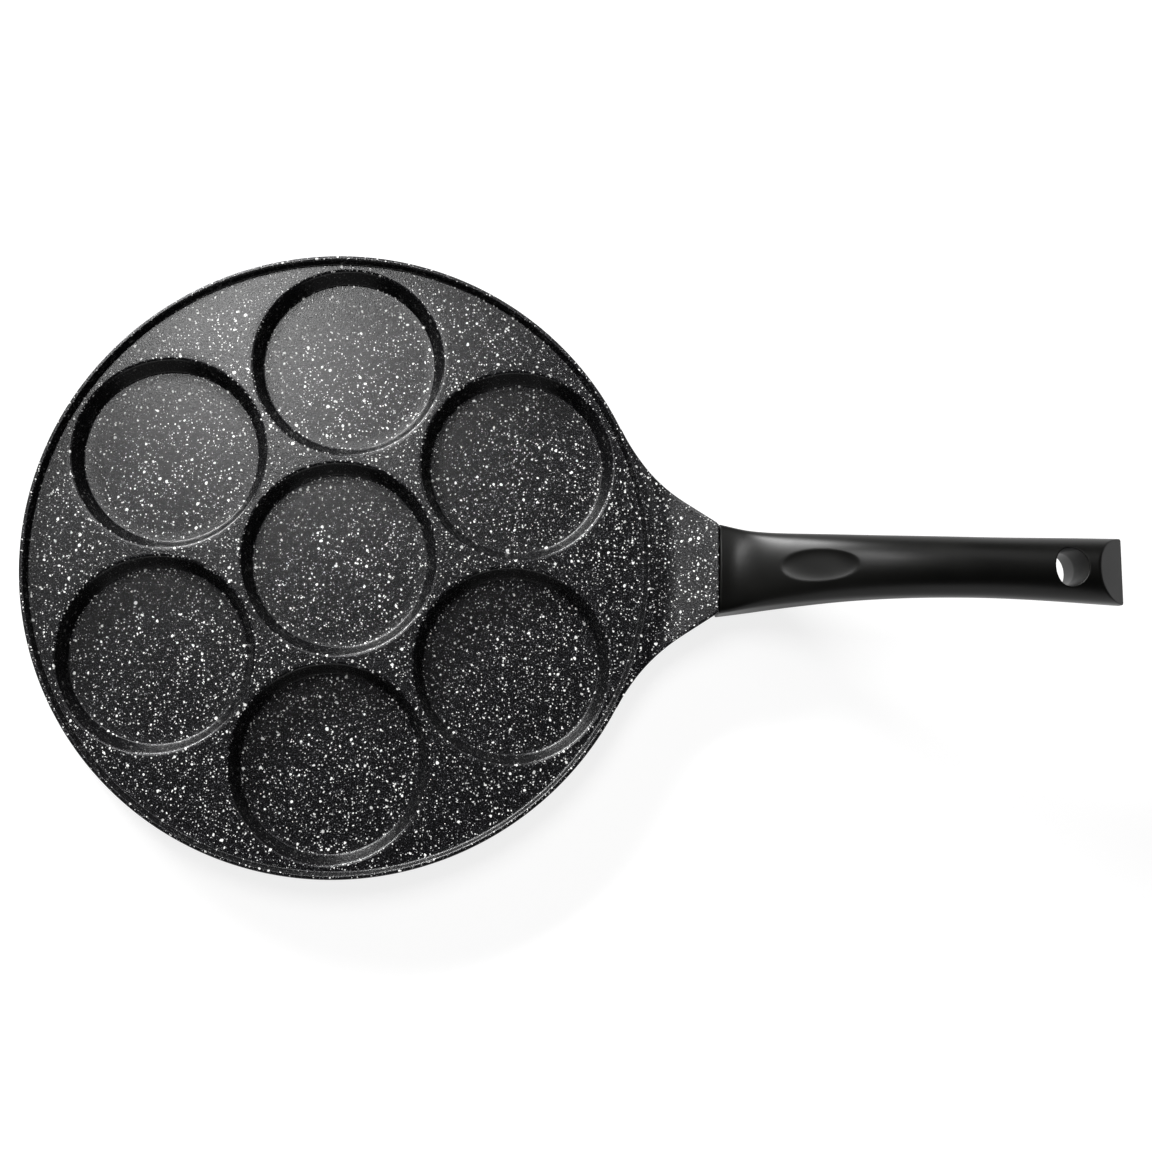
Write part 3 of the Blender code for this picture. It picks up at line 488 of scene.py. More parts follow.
def body_sheets(sizes):
    """Return the cast body: wells and land, then the lip, wall and coated rim of the base turned round them,
    then the turned middle of the base with the disc's recess."""
    foot, _, _ = plate_radii(sizes)
    top = PLATE_TOP_Z + sizes.lip_height
    lip = sizes.lip_radius
    corners = [
        (foot / 2.0, PLATE_TOP_Z, 0.0),
        (foot, PLATE_TOP_Z, LIP_FOOT_FILLET),
        (lip - sizes.lip_width, top, LIP_ROUNDING),
        (lip, top, LIP_ROUNDING),
        (lip - OUTER_WALL_DRAFT, BASE_Z, BASE_EDGE_ROUNDING),
        (BASE_TURNED_RADIUS, BASE_Z, 0.0),
    ]
    profile = rounded(corners)[1:]
    cells, angles = plate_sheets(sizes, profile[0, 0])
    radius = np.array((BASE_TURNED_RADIUS, RECESS_RADIUS, RECESS_RADIUS, RECESS_RADIUS / 2.0, 0.0))
    height = np.array((BASE_Z, BASE_Z, RECESS_TOP_Z, RECESS_TOP_Z, RECESS_TOP_Z))
    coated = ring_sheet(turned(profile[:, :1], profile[:, 1:], angles))
    bare = ring_sheet(turned(radius[:, None], height[:, None], angles), slot=1)
    return cells + [coated, bare]


def neck_sides(sizes):
    """Return points of the neck's side from the lip's circle to its end: a fillet, then a straight line.

    The fillet touches the lip's circle from outside and the straight side, so its centre lies one fillet
    radius from both.
    """
    lip = sizes.lip_radius
    normal = np.array((math.sin(NECK_SIDE_ANGLE), math.cos(NECK_SIDE_ANGLE)))
    end = np.array((neck_end(sizes), sizes.neck_end_half_width))
    reach = lip + NECK_SIDE_FILLET
    heading = math.atan2(normal[1], normal[0])
    leave = heading - math.acos((end @ normal + NECK_SIDE_FILLET) / reach)
    centre = reach * np.array((math.cos(leave), math.sin(leave)))
    angles = np.linspace(leave + math.pi, heading + math.pi, NECK_STATIONS_FILLET)
    fillet = centre + NECK_SIDE_FILLET * np.stack((np.cos(angles), np.sin(angles)), axis=1)
    shares = np.linspace(0.0, 1.0, NECK_STATIONS_STRAIGHT + 1)[1:, None]
    return np.vstack((fillet, fillet[-1] + (end - fillet[-1]) * shares))


def neck_top(sizes, x, y):
    """Return the neck's height: level with the lip, down a soft step round it, then up to the joint.

    The step is half a cosine wave of the distance from the lip. The climb runs from the step's foot, which
    is a circle, to the straight joint. Its slope goes with the share of the way times a constant less that
    share, so it is steepest before the joint.
    """
    lip = sizes.lip_radius
    out = np.hypot(x, y) - lip
    high = PLATE_TOP_Z + sizes.lip_height - NECK_BELOW_LIP
    low = PLATE_TOP_Z + sizes.lip_height - NECK_VALLEY_DROP
    joint = HANDLE_FRONT_Z + HALF_HEIGHTS[0][1] - NECK_BELOW_JOINT_TOP
    down = np.clip((out - NECK_SLOPE_START) / (NECK_VALLEY_START - NECK_SLOPE_START), 0.0, 1.0)
    foot = np.sqrt((lip + NECK_VALLEY_START) ** 2 - y**2)
    up = np.clip((x - foot) / (neck_end(sizes) - foot), 0.0, 1.0)
    step = (low - high) * (1.0 - np.cos(math.pi * down)) / 2.0
    climb = NECK_CLIMB_EASE * up**2 / 2.0 - up**3 / 3.0
    climb *= (joint - low) / (NECK_CLIMB_EASE / 2.0 - 1.0 / 3.0)
    return high + step + climb


def bar_outline(reference):
    """Return the outline of a bar with rounded edges, for any width, as four arrays.

    Each point lies at share times the half width plus offset across, and at a rise over the bar's top or
    bottom. The last array says which of these two it belongs to.
    """
    edge = NECK_EDGE_ROUNDING
    corners = [
        (0.0, reference, 0.0),
        (reference, reference, edge),
        (reference - NECK_SIDE_DRAFT, -reference, edge),
        (0.0, -reference, 0.0),
    ]
    side = rounded(corners)[1:]
    flat = np.linspace(0.0, 1.0, NECK_ACROSS_STEPS // 2 + 1)[:-1]
    share = np.concatenate((flat, np.ones(len(side) - 1), (0.0,)))
    offset = np.concatenate((-edge * flat, side[:-1, 0] - reference, (0.0,)))
    upper = np.concatenate((np.ones(len(flat), bool), side[:, 1] > 0.0))
    rise = np.concatenate((np.zeros(len(flat)), side[:, 1] - np.sign(side[:, 1]) * reference))
    back = slice(-2, 0, -1)
    sign = np.concatenate((np.ones(len(share)), -np.ones(len(share) - 2)))
    share, offset, rise, upper = (np.concatenate((row, row[back])) for row in (share, offset, rise, upper))
    return sign * share, sign * offset, rise, upper


def neck_sheets(sizes):
    """Return the neck as rings of bar sections whose middle and edges move along it, with a rounded end.

    Across a section, x runs from the middle's x to the edge's x as the square of the share across.
    """
    lip = sizes.lip_radius
    sides = neck_sides(sizes)
    middle = np.linspace(lip, neck_end(sizes), len(sides))
    leave = math.atan2(sides[0, 1], sides[0, 0])
    roots = lip - np.array((NECK_ROOT_DEPTH, NECK_ROOT_DEPTH / 2.0, sizes.lip_width / 2.0))
    sides = np.vstack((roots[:, None] * (math.cos(leave), math.sin(leave)), sides))
    middle = np.concatenate((roots, middle))
    end = NECK_END_ROUNDING
    keep = middle <= middle[-1] - end - WELD
    turn = np.linspace(0.0, math.pi / 2.0, ARC_STEPS + 1)
    rounding = middle[-1] - end * (1.0 - np.sin(turn))
    edge_x = np.concatenate((sides[keep, 0], rounding))[:, None]
    half_width = np.concatenate((sides[keep, 1], np.full(len(turn), sides[-1, 1])))[:, None]
    middle = np.concatenate((middle[keep], rounding))[:, None]
    shrink = np.concatenate((np.zeros(keep.sum()), end * (1.0 - np.cos(turn))))[:, None]
    share, offset, rise, upper = bar_outline(sizes.neck_end_half_width)
    across = share * (half_width - shrink) + offset
    x = middle + (edge_x - middle) * (across / half_width) ** 2
    top = neck_top(sizes, x, across)
    top[:2] = PLATE_TOP_Z - NECK_ROOT_DEPTH
    bottom = HANDLE_FRONT_Z - HALF_HEIGHTS[0][1] + NECK_ABOVE_JOINT_BOTTOM
    height = np.where(upper, top + rise - shrink, bottom + rise + shrink)
    rings = np.stack((x, across, height), axis=-1)
    return [ring_sheet(closed_tube(rings))]


def spine(sizes, x):
    """Return the height and the slope angle of the handle's middle line at x.

    The line is one cubic Bezier curve from the joint to the end, read off a fine table of its points.
    """
    front = np.array((handle_front(sizes), HANDLE_FRONT_Z))
    end = front + (sizes.handle_reach, sizes.handle_rise)
    pull_front = front + (SPINE_FRONT_PULL[0] * sizes.handle_reach, SPINE_FRONT_PULL[1])
    pull_back = np.array((front[0] + SPINE_BACK_PULL[0] * sizes.handle_reach, end[1] + SPINE_BACK_PULL[1]))
    t = np.linspace(0.0, 1.0, SPINE_READINGS)[:, None]
    s = 1.0 - t
    place = s ** 3 * front + 3.0 * s * s * t * pull_front + 3.0 * s * t * t * pull_back + t ** 3 * end
    along = s * s * (pull_front - front) + 2.0 * s * t * (pull_back - pull_front) + t * t * (end - pull_back)
    angle = np.arctan2(along[:, 1], along[:, 0])
    return np.interp(x, place[:, 0], place[:, 1]), np.interp(x, place[:, 0], angle)


def off_spine(x, line, across, up):
    """Return points at x, across and up from a middle line with the (heights, angles) given."""
    height, angle = line
    points = np.broadcast_arrays(x - up * np.sin(angle), across, height + up * np.cos(angle))
    return np.stack(points, axis=-1)


def spine_frame(sizes, x, lean=0.0):
    """Return a frame on the middle line: X along it, Y across, Z square to both, leaned towards +X."""
    height, angle = spine(sizes, x)
    turn = Matrix.Rotation(lean - float(angle), 4, "Y")
    return Matrix.Translation((x, 0.0, float(height))) @ turn


def handle_sizes(sizes, x, shrink=0.0):
    """Return half width, half height, crown, lean and shoulder power of the handle's section at x."""
    share = share_along(sizes, x)
    tables = (HALF_WIDTHS, HALF_HEIGHTS, CROWN_HEIGHTS, SIDE_LEANS, SHOULDER_POWERS)
    half_width, half_height, crown, lean, power = (smooth_through(table, share) for table in tables)
    return half_width - shrink, half_height - shrink, crown, lean, power


def stance(sizes, x):
    """Return the middle line's height at x and the angle at which a section stands there: upright at the
    front face, and square to the line from a short way behind it."""
    height, angle = spine(sizes, x)
    return height, angle * np.clip(share_along(sizes, x) / UPRIGHT_FRONT_SHARE, 0.0, 1.0)


def superellipse(angles, power):
    """Return (across, up) of unit superellipses: each direction over its own p-norm, with the power as p."""
    cosine, sine = np.cos(angles), np.sin(angles)
    radius = (np.abs(cosine) ** power + np.abs(sine) ** power) ** (-1.0 / power)
    return radius * cosine, radius * sine


def handle_section(sizes, x, shrink, angles):
    """Return the handle's sections at x as (across, up) grids, one row for each x.

    A section is a superellipse, from boxy to oval, with a parabola added over it, the crown, and sides
    that lean in.
    """
    half_width, half_height, crown, lean, power = handle_sizes(sizes, x[:, None], shrink[:, None])
    across, rise = superellipse(angles, power)
    up = np.sign(rise) * crown * (1.0 - across ** 2) + (half_height - crown) * rise
    across = across * (half_width - lean * (1.0 + up / half_height) / 2.0)
    return across, up


def press_dimple(sizes, x, across, up):
    """Return the sections' up values with the thumb dimple pressed in: a dish that is flat across.

    Its floor lies a depth below the crest, times one less the fourth power of the distance from the
    dimple's middle in half sizes, so the floor is nearly flat and the rim is steep.
    """
    middle = handle_front(sizes) + DIMPLE_FROM_FRONT
    crest = handle_sizes(sizes, x)[1][:, None]
    along = (x[:, None] - middle) / DIMPLE_HALF_SIZES[0]
    distance = along ** 2 + (across / DIMPLE_HALF_SIZES[1]) ** 2
    dish = crest - DIMPLE_DEPTH * (1.0 - distance ** 2)
    return np.where(up > 0.0, soft_minimum(up, dish, DIMPLE_SOFTNESS), up)


def meet_handle(sizes, frame, along, across, side):
    """Return where lines of a frame's Z direction, at (along, across) of it, meet the handle's outside.

    side is 1 for its top and -1 for its underside. The height is found by rounds of substitution: the
    place gives the section, the section gives the height, and the height gives the place again.
    """
    origin = np.array(frame.translation)
    x_axis, z_axis = np.array(frame.col[0])[:3], np.array(frame.col[2])[:3]
    up = np.full_like(along, side * HALF_HEIGHTS[0][1])
    height = up.copy()
    x = origin[0] + along
    for _ in range(MEETING_ROUNDS):
        x_here = origin[0] + along * x_axis[0] + height * z_axis[0]
        middle, angle = stance(sizes, x)
        x = x_here + up * np.sin(angle)
        half_width, half_height, crown, lean, power = handle_sizes(sizes, x)
        share = np.clip(across / (half_width - lean * (1.0 + up / half_height) / 2.0), -1.0, 1.0)
        rise = (1.0 - np.abs(share) ** power) ** (1.0 / power)
        up = side * (crown * (1.0 - share ** 2) + (half_height - crown) * rise)
        middle, angle = stance(sizes, x)
        height = (middle + up * np.cos(angle) - origin[2] - along * x_axis[2]) / z_axis[2]
    points = origin + along[:, None] * x_axis + height[:, None] * z_axis
    points[:, 1] = across
    return points


def window_loop(rows, columns):
    """Return the grid indices round a window's edge, in order, as two arrays."""
    top = [(rows[0], column) for column in columns[:-1]]
    right = [(row, columns[-1]) for row in rows[:-1]]
    bottom = [(rows[-1], column) for column in columns[:0:-1]]
    left = [(row, columns[0]) for row in rows[:0:-1]]
    return np.array(top + right + bottom + left).T


def hole_mouth(sizes, grid, rows, columns, frame, half_sizes, edge, side):
    """Return the surface between a window in the handle's grid and a hole's wall, and the headings round it.

    Rings run straight from the window's edge to an oval one edge rounding wider than the hole, all of
    them on the handle's outside. A parabola's arc then turns from there into the wall.
    """
    loop = window_loop(rows, columns)
    outside = grid[loop[0], loop[1]]
    inverse = np.array(frame.inverted())
    local = outside @ inverse[:3, :3].T + inverse[:3, 3]
    heading = local[:, :2] / np.array(half_sizes)
    heading /= np.linalg.norm(heading, axis=1)[:, None]
    wide = heading * (np.array(half_sizes) + edge)
    rings = [outside]
    for share in np.linspace(0.0, 1.0, WINDOW_RINGS + 1)[1:]:
        flat = local[:, :2] * (1.0 - share) + wide * share
        rings.append(meet_handle(sizes, frame, flat[:, 0], flat[:, 1], side))
    brim = rings[-1]
    narrow = heading * half_sizes
    corner = meet_handle(sizes, frame, narrow[:, 0], narrow[:, 1], side)
    wall = corner - side * edge * np.array(frame.col[2])[:3]
    for t in np.linspace(0.0, 1.0, ARC_STEPS + 1)[1:]:
        rings.append(brim * (1.0 - t) ** 2 + corner * 2.0 * t * (1.0 - t) + wall * t ** 2)
    return np.stack(rings), heading


def frame_points(frame, flat, height):
    """Return (along, across) points at one height of a frame, in the pan's own axes."""
    matrix = np.array(frame)
    local = np.column_stack((flat, np.full(len(flat), height)))
    return local @ matrix[:3, :3].T + matrix[:3, 3]


def cut_facet(sizes, x, grid):
    """Lower the points of rings at x to the sloping plane at the handle's end, with a softly rounded edge.

    A point slides down within its own ring, so it falls by its height over the plane times one over the
    rate at which that height shrinks on the way.
    """
    end = handle_front(sizes) + sizes.handle_reach
    crest = HANDLE_FRONT_Z + sizes.handle_rise + HALF_HEIGHTS[-1][1]
    slope = FACET_DROP / FACET_LENGTH
    over = grid[..., 2] - crest + (grid[..., 0] - end + FACET_LENGTH) * slope
    over -= soft_minimum(over, 0.0, FACET_SOFTNESS)
    _, angle = stance(sizes, x)
    sine, cosine = np.sin(angle)[:, None], np.cos(angle)[:, None]
    fall = over / (cosine - slope * sine)
    return grid + np.stack((fall * sine, np.zeros_like(fall), -fall * cosine), axis=-1)


def tang_grid(sizes, clearance, start, stop, angles):
    """Return rings of the tang along the middle line: superellipses with nearly square corners."""
    x = np.linspace(start, stop, TANG_STATIONS)[:, None]
    share = np.clip((x - neck_end(sizes)) / TANG_LENGTH, 0.0, 1.0)
    half_width = TANG_HALF_WIDTHS[0] + (TANG_HALF_WIDTHS[1] - TANG_HALF_WIDTHS[0]) * share + clearance
    across, rise = superellipse(angles, TANG_POWER)
    up = TANG_ABOVE_SPINE + (TANG_HALF_HEIGHT + clearance) * rise
    return off_spine(x, spine(sizes, np.maximum(x, handle_front(sizes))), half_width * across, up)


def closed_tube(rings):
    """Return rings with a pole at each end: the middle of the first and of the last ring."""
    caps = [np.repeat(rings[k].mean(axis=0)[None, None], rings.shape[1], axis=1) for k in (0, -1)]
    return np.vstack((caps[0], rings, caps[1]))


def tang_sheets(sizes):
    """Return the tang as one closed tube that starts inside the neck."""
    joint = neck_end(sizes)
    angles = np.linspace(0.0, 2.0 * math.pi, TANG_POINTS, endpoint=False)
    rings = tang_grid(sizes, 0.0, joint - NECK_ROOT_DEPTH, joint + TANG_LENGTH, angles)
    return [ring_sheet(closed_tube(rings))]


def handle_stations(sizes):
    """Return x and shrink of the handle's rings: quarter arcs at both ends and two even spacings between."""
    front = handle_front(sizes)
    end = front + sizes.handle_reach
    turn = np.linspace(0.0, math.pi / 2.0, ARC_STEPS + 1)
    rise, drop = 1.0 - np.cos(turn), 1.0 - np.sin(turn)
    first = front + HANDLE_FRONT_ROUNDING * rise
    facet = end - FACET_LENGTH - HANDLE_END_ROUNDING
    even = np.linspace(front + HANDLE_FRONT_ROUNDING, facet, HANDLE_STATIONS)
    fine = np.linspace(facet, end - HANDLE_END_ROUNDING, FACET_STATIONS)
    x = np.concatenate((first, even[1:], fine[1:], end - HANDLE_END_ROUNDING * drop[1:]))
    shrink = np.zeros(len(x))
    shrink[: ARC_STEPS + 1] = HANDLE_FRONT_ROUNDING * drop
    shrink[-ARC_STEPS:] = HANDLE_END_ROUNDING * rise[1:]
    return x, shrink


def handle_sheets(sizes):
    """Return the moulded handle: its outside with three windows, the mouths and walls of its holes, its end,
    and its front face, which runs on into the socket for the tang."""
    x, shrink = handle_stations(sizes)
    angles = np.linspace(-math.pi / 2.0, 1.5 * math.pi, HANDLE_POINTS, endpoint=False)
    across, up = handle_section(sizes, x, shrink, angles)
    up = press_dimple(sizes, x, across, up)
    rings = cut_facet(sizes, x, off_spine(x[:, None], stance(sizes, x[:, None]), across, up))
    window = np.zeros((len(x) - 1, HANDLE_POINTS), bool)

    def open_window(centre, size, column):
        """Leave out the cells round a place, and return the rows and columns of the window's edge."""
        reach, half_columns = size
        rows = np.nonzero(np.abs(x - centre) < reach)[0]
        columns = (column + np.arange(-half_columns, half_columns + 1)) % HANDLE_POINTS
        window[np.ix_(rows[:-1], columns[:-1])] = True
        return rows, columns

    front = handle_front(sizes)
    hole_x = front + sizes.handle_reach - HANG_HOLE_FROM_END
    frame = spine_frame(sizes, hole_x, HANG_HOLE_LEAN)
    rows, columns = open_window(hole_x, HANG_HOLE_WINDOW, HANDLE_POINTS // 2)
    mouth, heading = hole_mouth(sizes, rings, rows, columns, frame, HANG_HOLE_HALF_SIZES, HANG_HOLE_EDGE, 1)
    rows, columns = open_window(hole_x, HANG_HOLE_WINDOW, 0)
    foot_sizes = np.array(HANG_HOLE_HALF_SIZES) - HANG_HOLE_FOOT_STEP
    foot, under = hole_mouth(sizes, rings, rows, columns[::-1], frame, foot_sizes, HANG_HOLE_EDGE, -1)
    half_way = heading + under
    half_way /= np.linalg.norm(half_way, axis=1)[:, None]
    waist_sizes = np.array(HANG_HOLE_HALF_SIZES) - HANG_HOLE_WAIST_STEP
    waist = [
        frame_points(frame, half_way * (waist_sizes + wider), level) for wider, level in HANG_HOLE_WAIST_RINGS
    ]
    sheets = [ring_sheet(np.vstack((mouth, np.stack(waist), foot[::-1])))]

    screw_x = neck_end(sizes) + SCREW_ALONG_TANG * TANG_LENGTH
    frame = spine_frame(sizes, screw_x)
    rows, columns = open_window(screw_x, COUNTERBORE_WINDOW, 0)
    radius = (COUNTERBORE_RADIUS, COUNTERBORE_RADIUS)
    mouth, heading = hole_mouth(sizes, rings, rows, columns, frame, radius, COUNTERBORE_EDGE, -1)
    seat = [frame_points(frame, heading * radius * share, -SCREW_SEAT_DEPTH) for share in (1.0, 0.5, 0.0)]
    sheets.append(ring_sheet(np.vstack((mouth, np.stack(seat)))))

    socket = tang_grid(sizes, SEAT_GAP, front, front + TANG_LENGTH, angles)
    socket[0, :, 0] = front
    cap = np.repeat(socket[-1].mean(axis=0)[None, None], HANDLE_POINTS, axis=1)
    sheets.append(ring_sheet(np.vstack((cap, socket[::-1], rings[:1]))))

    scales = np.linspace(1.0, 0.0, END_CAP_RINGS + 1)[:, None]
    last = np.full(len(scales), x[-1])
    end = off_spine(last[:, None], stance(sizes, last[:, None]), across[-1:] * scales, up[-1:] * scales)
    sheets.append(ring_sheet(cut_facet(sizes, last, end)))
    sheets.append(ring_sheet(rings, window))
    return sheets


def circle(radius, count, centre=(0.0, 0.0)):
    """Return points round a circle."""
    angles = np.linspace(0.0, 2.0 * math.pi, count, endpoint=False)
    return centre + radius * np.stack((np.cos(angles), np.sin(angles)), axis=1)


def disc_hole_centres():
    """Return the centres of the disc's holes, in rings, every second ring turned by half a step."""
    centres = []
    for ring, (radius, count) in enumerate(DISC_RINGS):
        angles = 2.0 * math.pi * (np.arange(count) + 0.5 * (ring % 2)) / count
        centres.append(radius * np.stack((np.cos(angles), np.sin(angles)), axis=1))
    return np.vstack(centres)


def disc_sheets(sizes):
    """Return the perforated disc: triangles between its edge and its holes on both faces, and all walls.

    The triangulation works in single precision, so the outlines are rounded to it, and the walls meet it.
    """
    loops = [circle(sizes.disc_radius, DISC_SEGMENTS)]
    loops += [circle(DISC_HOLE_RADIUS, DISC_HOLE_SEGMENTS, centre) for centre in disc_hole_centres()]
    loops = [loop.astype(np.float32).astype(float) for loop in loops]
    flat = np.vstack(loops)
    starts = np.cumsum([0] + [len(loop) for loop in loops[:-1]])
    indices = [start + np.arange(len(loop)) for start, loop in zip(starts, loops)]
    edges = np.vstack([np.column_stack((index, np.roll(index, -1))) for index in indices]).tolist()
    corners, _, triangles, *_ = delaunay_2d_cdt([Vector(point) for point in flat], edges, [], 1, WELD)
    corners = np.array(corners)
    triangles = np.array(triangles)
    middles = corners[triangles].mean(axis=1)
    gaps = np.linalg.norm(middles[:, None] - disc_hole_centres()[None], axis=2).min(axis=1)
    triangles = triangles[gaps > DISC_HOLE_RADIUS]
    faces = np.column_stack((triangles, triangles[:, 2]))
    low, high = 0.0, DISC_THICKNESS
    sheets = [(np.column_stack((corners, np.full(len(corners), level))), faces, 0) for level in (low, high)]
    for loop in loops:
        walls = [np.column_stack((loop, np.full(len(loop), level))) for level in (low, high)]
        sheets.append(ring_sheet(np.stack(walls)))
    return sheets


def stud_sheets():
    """Return the short studs of cast metal that fill the disc's holes, just under flush."""
    wide = DISC_HOLE_RADIUS - STUD_GAP
    radius = np.array((0.0, wide, wide, wide - STUD_GAP, 0.0))[:, None]
    height = np.array((RECESS_TOP_Z, RECESS_TOP_Z, STUD_SHORT + STUD_GAP, STUD_SHORT, STUD_SHORT))[:, None]
    angles = np.linspace(0.0, 2.0 * math.pi, DISC_HOLE_SEGMENTS, endpoint=False)
    return [ring_sheet(turned(radius, height, angles, centre), slot=1) for centre in disc_hole_centres()]


def linear(code, shade=1.0):
    """Turn an sRGB hex colour into linear red, green, blue and 1, made lighter or darker by a factor."""
    levels = np.array([int(code[k : k + 2], 16) for k in (1, 3, 5)]) / 255.0
    values = np.where(levels <= 0.04045, levels / 12.92, ((levels + 0.055) / 1.055) ** 2.4)
    return (*(shade * values).tolist(), 1.0)


def set_inputs(tree, node, inputs):
    """Set a node's inputs, by name or number, each to a value or a link.

    A link is another node's output, or another node, which stands for its first output.
    """
    for name, value in inputs.items():
        if isinstance(value, bpy.types.Node):
            value = value.outputs[0]
        if isinstance(value, bpy.types.NodeSocket):
            tree.links.new(value, node.inputs[name])
        else:
            node.inputs[name].default_value = value


def add_node(tree, kind, inputs=None, **settings):
    """Add a shader node to a tree, with its settings and inputs."""
    node = tree.nodes.new("ShaderNode" + kind)
    for name, value in settings.items():
        setattr(node, name, value)
    set_inputs(tree, node, inputs or {})
    return node


def new_material(name):
    """Return a new material, its tree and its Principled shader."""
    material = bpy.data.materials.new(name)
    material.use_nodes = True
    return material, material.node_tree, material.node_tree.nodes["Principled BSDF"]


def lay_surface(tree, shader, colour, gloss, roughness, height=None, depth=0.0):
    """Give a shader its colour, a pattern that moves its roughness between two values, and one that raises
    its surface by a depth."""
    low, high = NOISE_MIDDLE
    rough = add_node(tree, "MapRange", {0: gloss, 1: low, 2: high, 3: roughness[0], 4: roughness[1]})
    set_inputs(tree, shader, {"Base Color": colour, "Roughness": rough})
    if height is not None:
        bump = add_node(tree, "Bump", {"Height": height, "Strength": 1.0, "Distance": depth})
        set_inputs(tree, shader, {"Normal": bump})


def speckles(tree, place, cell, radii, share):
    """Return a mask of round specks, one at most in each Voronoi cell, and the cell's random number.

    Another random number picks the share of cells that hold a speck, and the speck's radius. The mask
    falls from 1 to 0 over the outer part of the radius.
    """
    cells = add_node(tree, "TexVoronoi", {"Vector": place, "Scale": 1.0 / cell})
    parts = add_node(tree, "SeparateColor", {0: cells.outputs["Color"]})
    size = {0: parts.outputs["Red"], 2: share, 3: radii[0] / cell, 4: radii[1] / cell}
    radius = add_node(tree, "MapRange", size)
    held = add_node(tree, "Math", {0: parts.outputs["Red"], 1: share}, operation="LESS_THAN")
    core = add_node(tree, "Math", {0: radius, 1: SPECK_CORE}, operation="MULTIPLY")
    fade = {0: cells.outputs["Distance"], 1: core, 2: radius, 3: 1.0, 4: 0.0}
    disc = add_node(tree, "MapRange", fade, interpolation_type="SMOOTHSTEP")
    return add_node(tree, "Math", {0: disc, 1: held}, operation="MULTIPLY"), parts.outputs["Green"]


def spatter_and_wall_shade(tree):
    """Return the share of spatter and mottle that a surface keeps: all of it where it lies level or faces
    outwards and down, as the pan's outside does, and a small share of it on steep walls that face up. On
    those walls, the walls of the wells and the lip's inside, this is partly fewer flecks from the spray and
    partly painted shade that darkens them."""
    normal = add_node(tree, "NewGeometry").outputs["Normal"]
    rise = add_node(tree, "SeparateXYZ", {0: normal}).outputs["Z"]
    level, outside = (
        add_node(tree, "MapRange", {0: rise, 1: none, 2: whole, 3: STEEP_SHARE})
        for none, whole in (LEVEL_RISES, OUTSIDE_RISES)
    )
    return add_node(tree, "Math", {0: level, 1: outside}, operation="MAXIMUM")


def stone_effect_coating(colours):
    """Non-stick coating, sprayed on cast aluminium in a stone effect, then baked.

    A nearly black film with a mottled grey grain of about 0.5 mm. Flecks of a second spray lie in it: many
    of 0.3 to 0.8 mm, fewer up to 1.5 mm, some drawn out by the spray. Few flecks and little mottle are
    kept on the steep walls of the wells and the lip's inside: partly fewer flecks from the spray, partly
    painted shade that darkens those walls. The clear fluoropolymer film over them all has a low index, which
    keeps its sheen quiet beside the flecks, and the fine orange peel of a baked coat.
    """
    material, tree, shader = new_material("stone_effect_non_stick")
    shader.inputs["IOR"].default_value = COATING_INDEX
    place = add_node(tree, "TexCoord").outputs["Object"]
    grain, veil, peel, drift = (
        add_node(tree, "TexNoise", {"Vector": place, **noise})
        for noise in (COATING_GRAIN, COATING_VEIL, COATING_PEEL, SPATTER_DRIFT)
    )
    low, high = COATING_GRAIN_RIDGES
    mottle = add_node(tree, "MapRange", {0: grain, 1: low, 2: high})
    low, high, least = COATING_VEIL_RANGE
    cloud = add_node(tree, "MapRange", {0: veil, 1: low, 2: high, 3: least})
    # Steep walls facing up keep few flecks and little mottle: partly the spray, partly painted shade
    caught_and_shaded = spatter_and_wall_shade(tree)
    for part in (cloud, caught_and_shaded):
        mottle = add_node(tree, "Math", {0: mottle, 1: part}, operation="MULTIPLY")
    tones = {0: mottle, 6: linear(colours.coating), 7: linear(colours.mottle)}
    colour = add_node(tree, "Mix", tones, data_type="RGBA").outputs[2]
    pull = {0: drift.outputs["Color"], 1: (SPATTER_DRIFT_REACH,) * 3, 2: place}
    drifted = add_node(tree, "VectorMath", pull, operation="MULTIPLY_ADD")
    for cell, radii, share, name in SPATTER:
        mask, number = speckles(tree, drifted, cell, radii, share)
        level = add_node(tree, "MapRange", {0: number, 2: SPECK_LEVELS[0], 3: SPECK_LEVELS[1]})
        for part in (level, caught_and_shaded):
            mask = add_node(tree, "Math", {0: mask, 1: part}, operation="MULTIPLY")
        tones = {0: mask, 6: colour, 7: linear(getattr(colours, name))}
        colour = add_node(tree, "Mix", tones, data_type="RGBA").outputs[2]
    roughness = [colours.coating_roughness + spread for spread in COATING_GLOSS_SPREAD]
    lay_surface(tree, shader, colour, grain, roughness, peel, COATING_PEEL_DEPTH)
    return material


def moulded_phenolic(colours):
    """Phenolic resin, moulded in a finely blasted tool: a deep black with a soft matt sheen.

    The blasting's grain is near 0.1 mm, too fine to show, so it is drawn at 0.4 mm and very shallow. The
    resin's flow into the tool leaves broad, faint clouds of a lighter black.
    """
    material, tree, shader = new_material("moulded_phenolic")
    shader.inputs["Specular IOR Level"].default_value = MOULDING_SPECULAR
    place = add_node(tree, "TexCoord").outputs["Object"]
    grain = add_node(tree, "TexNoise", {"Vector": place, **MOULDING_GRAIN})
    flow = add_node(tree, "TexNoise", {"Vector": place, **MOULDING_FLOW})
    low, high = NOISE_MIDDLE
    tint = add_node(tree, "MapRange", {0: flow, 1: low, 2: high})
    tones = {0: tint, 6: linear(colours.moulding), 7: linear(colours.moulding, MOULDING_FLOW_SHADE)}
    colour = add_node(tree, "Mix", tones, data_type="RGBA").outputs[2]
    roughness = [colours.moulding_roughness + spread for spread in MOULDING_GLOSS_SPREAD]
    lay_surface(tree, shader, colour, flow, roughness, grain, MOULDING_GRAIN_DEPTH)
    return material


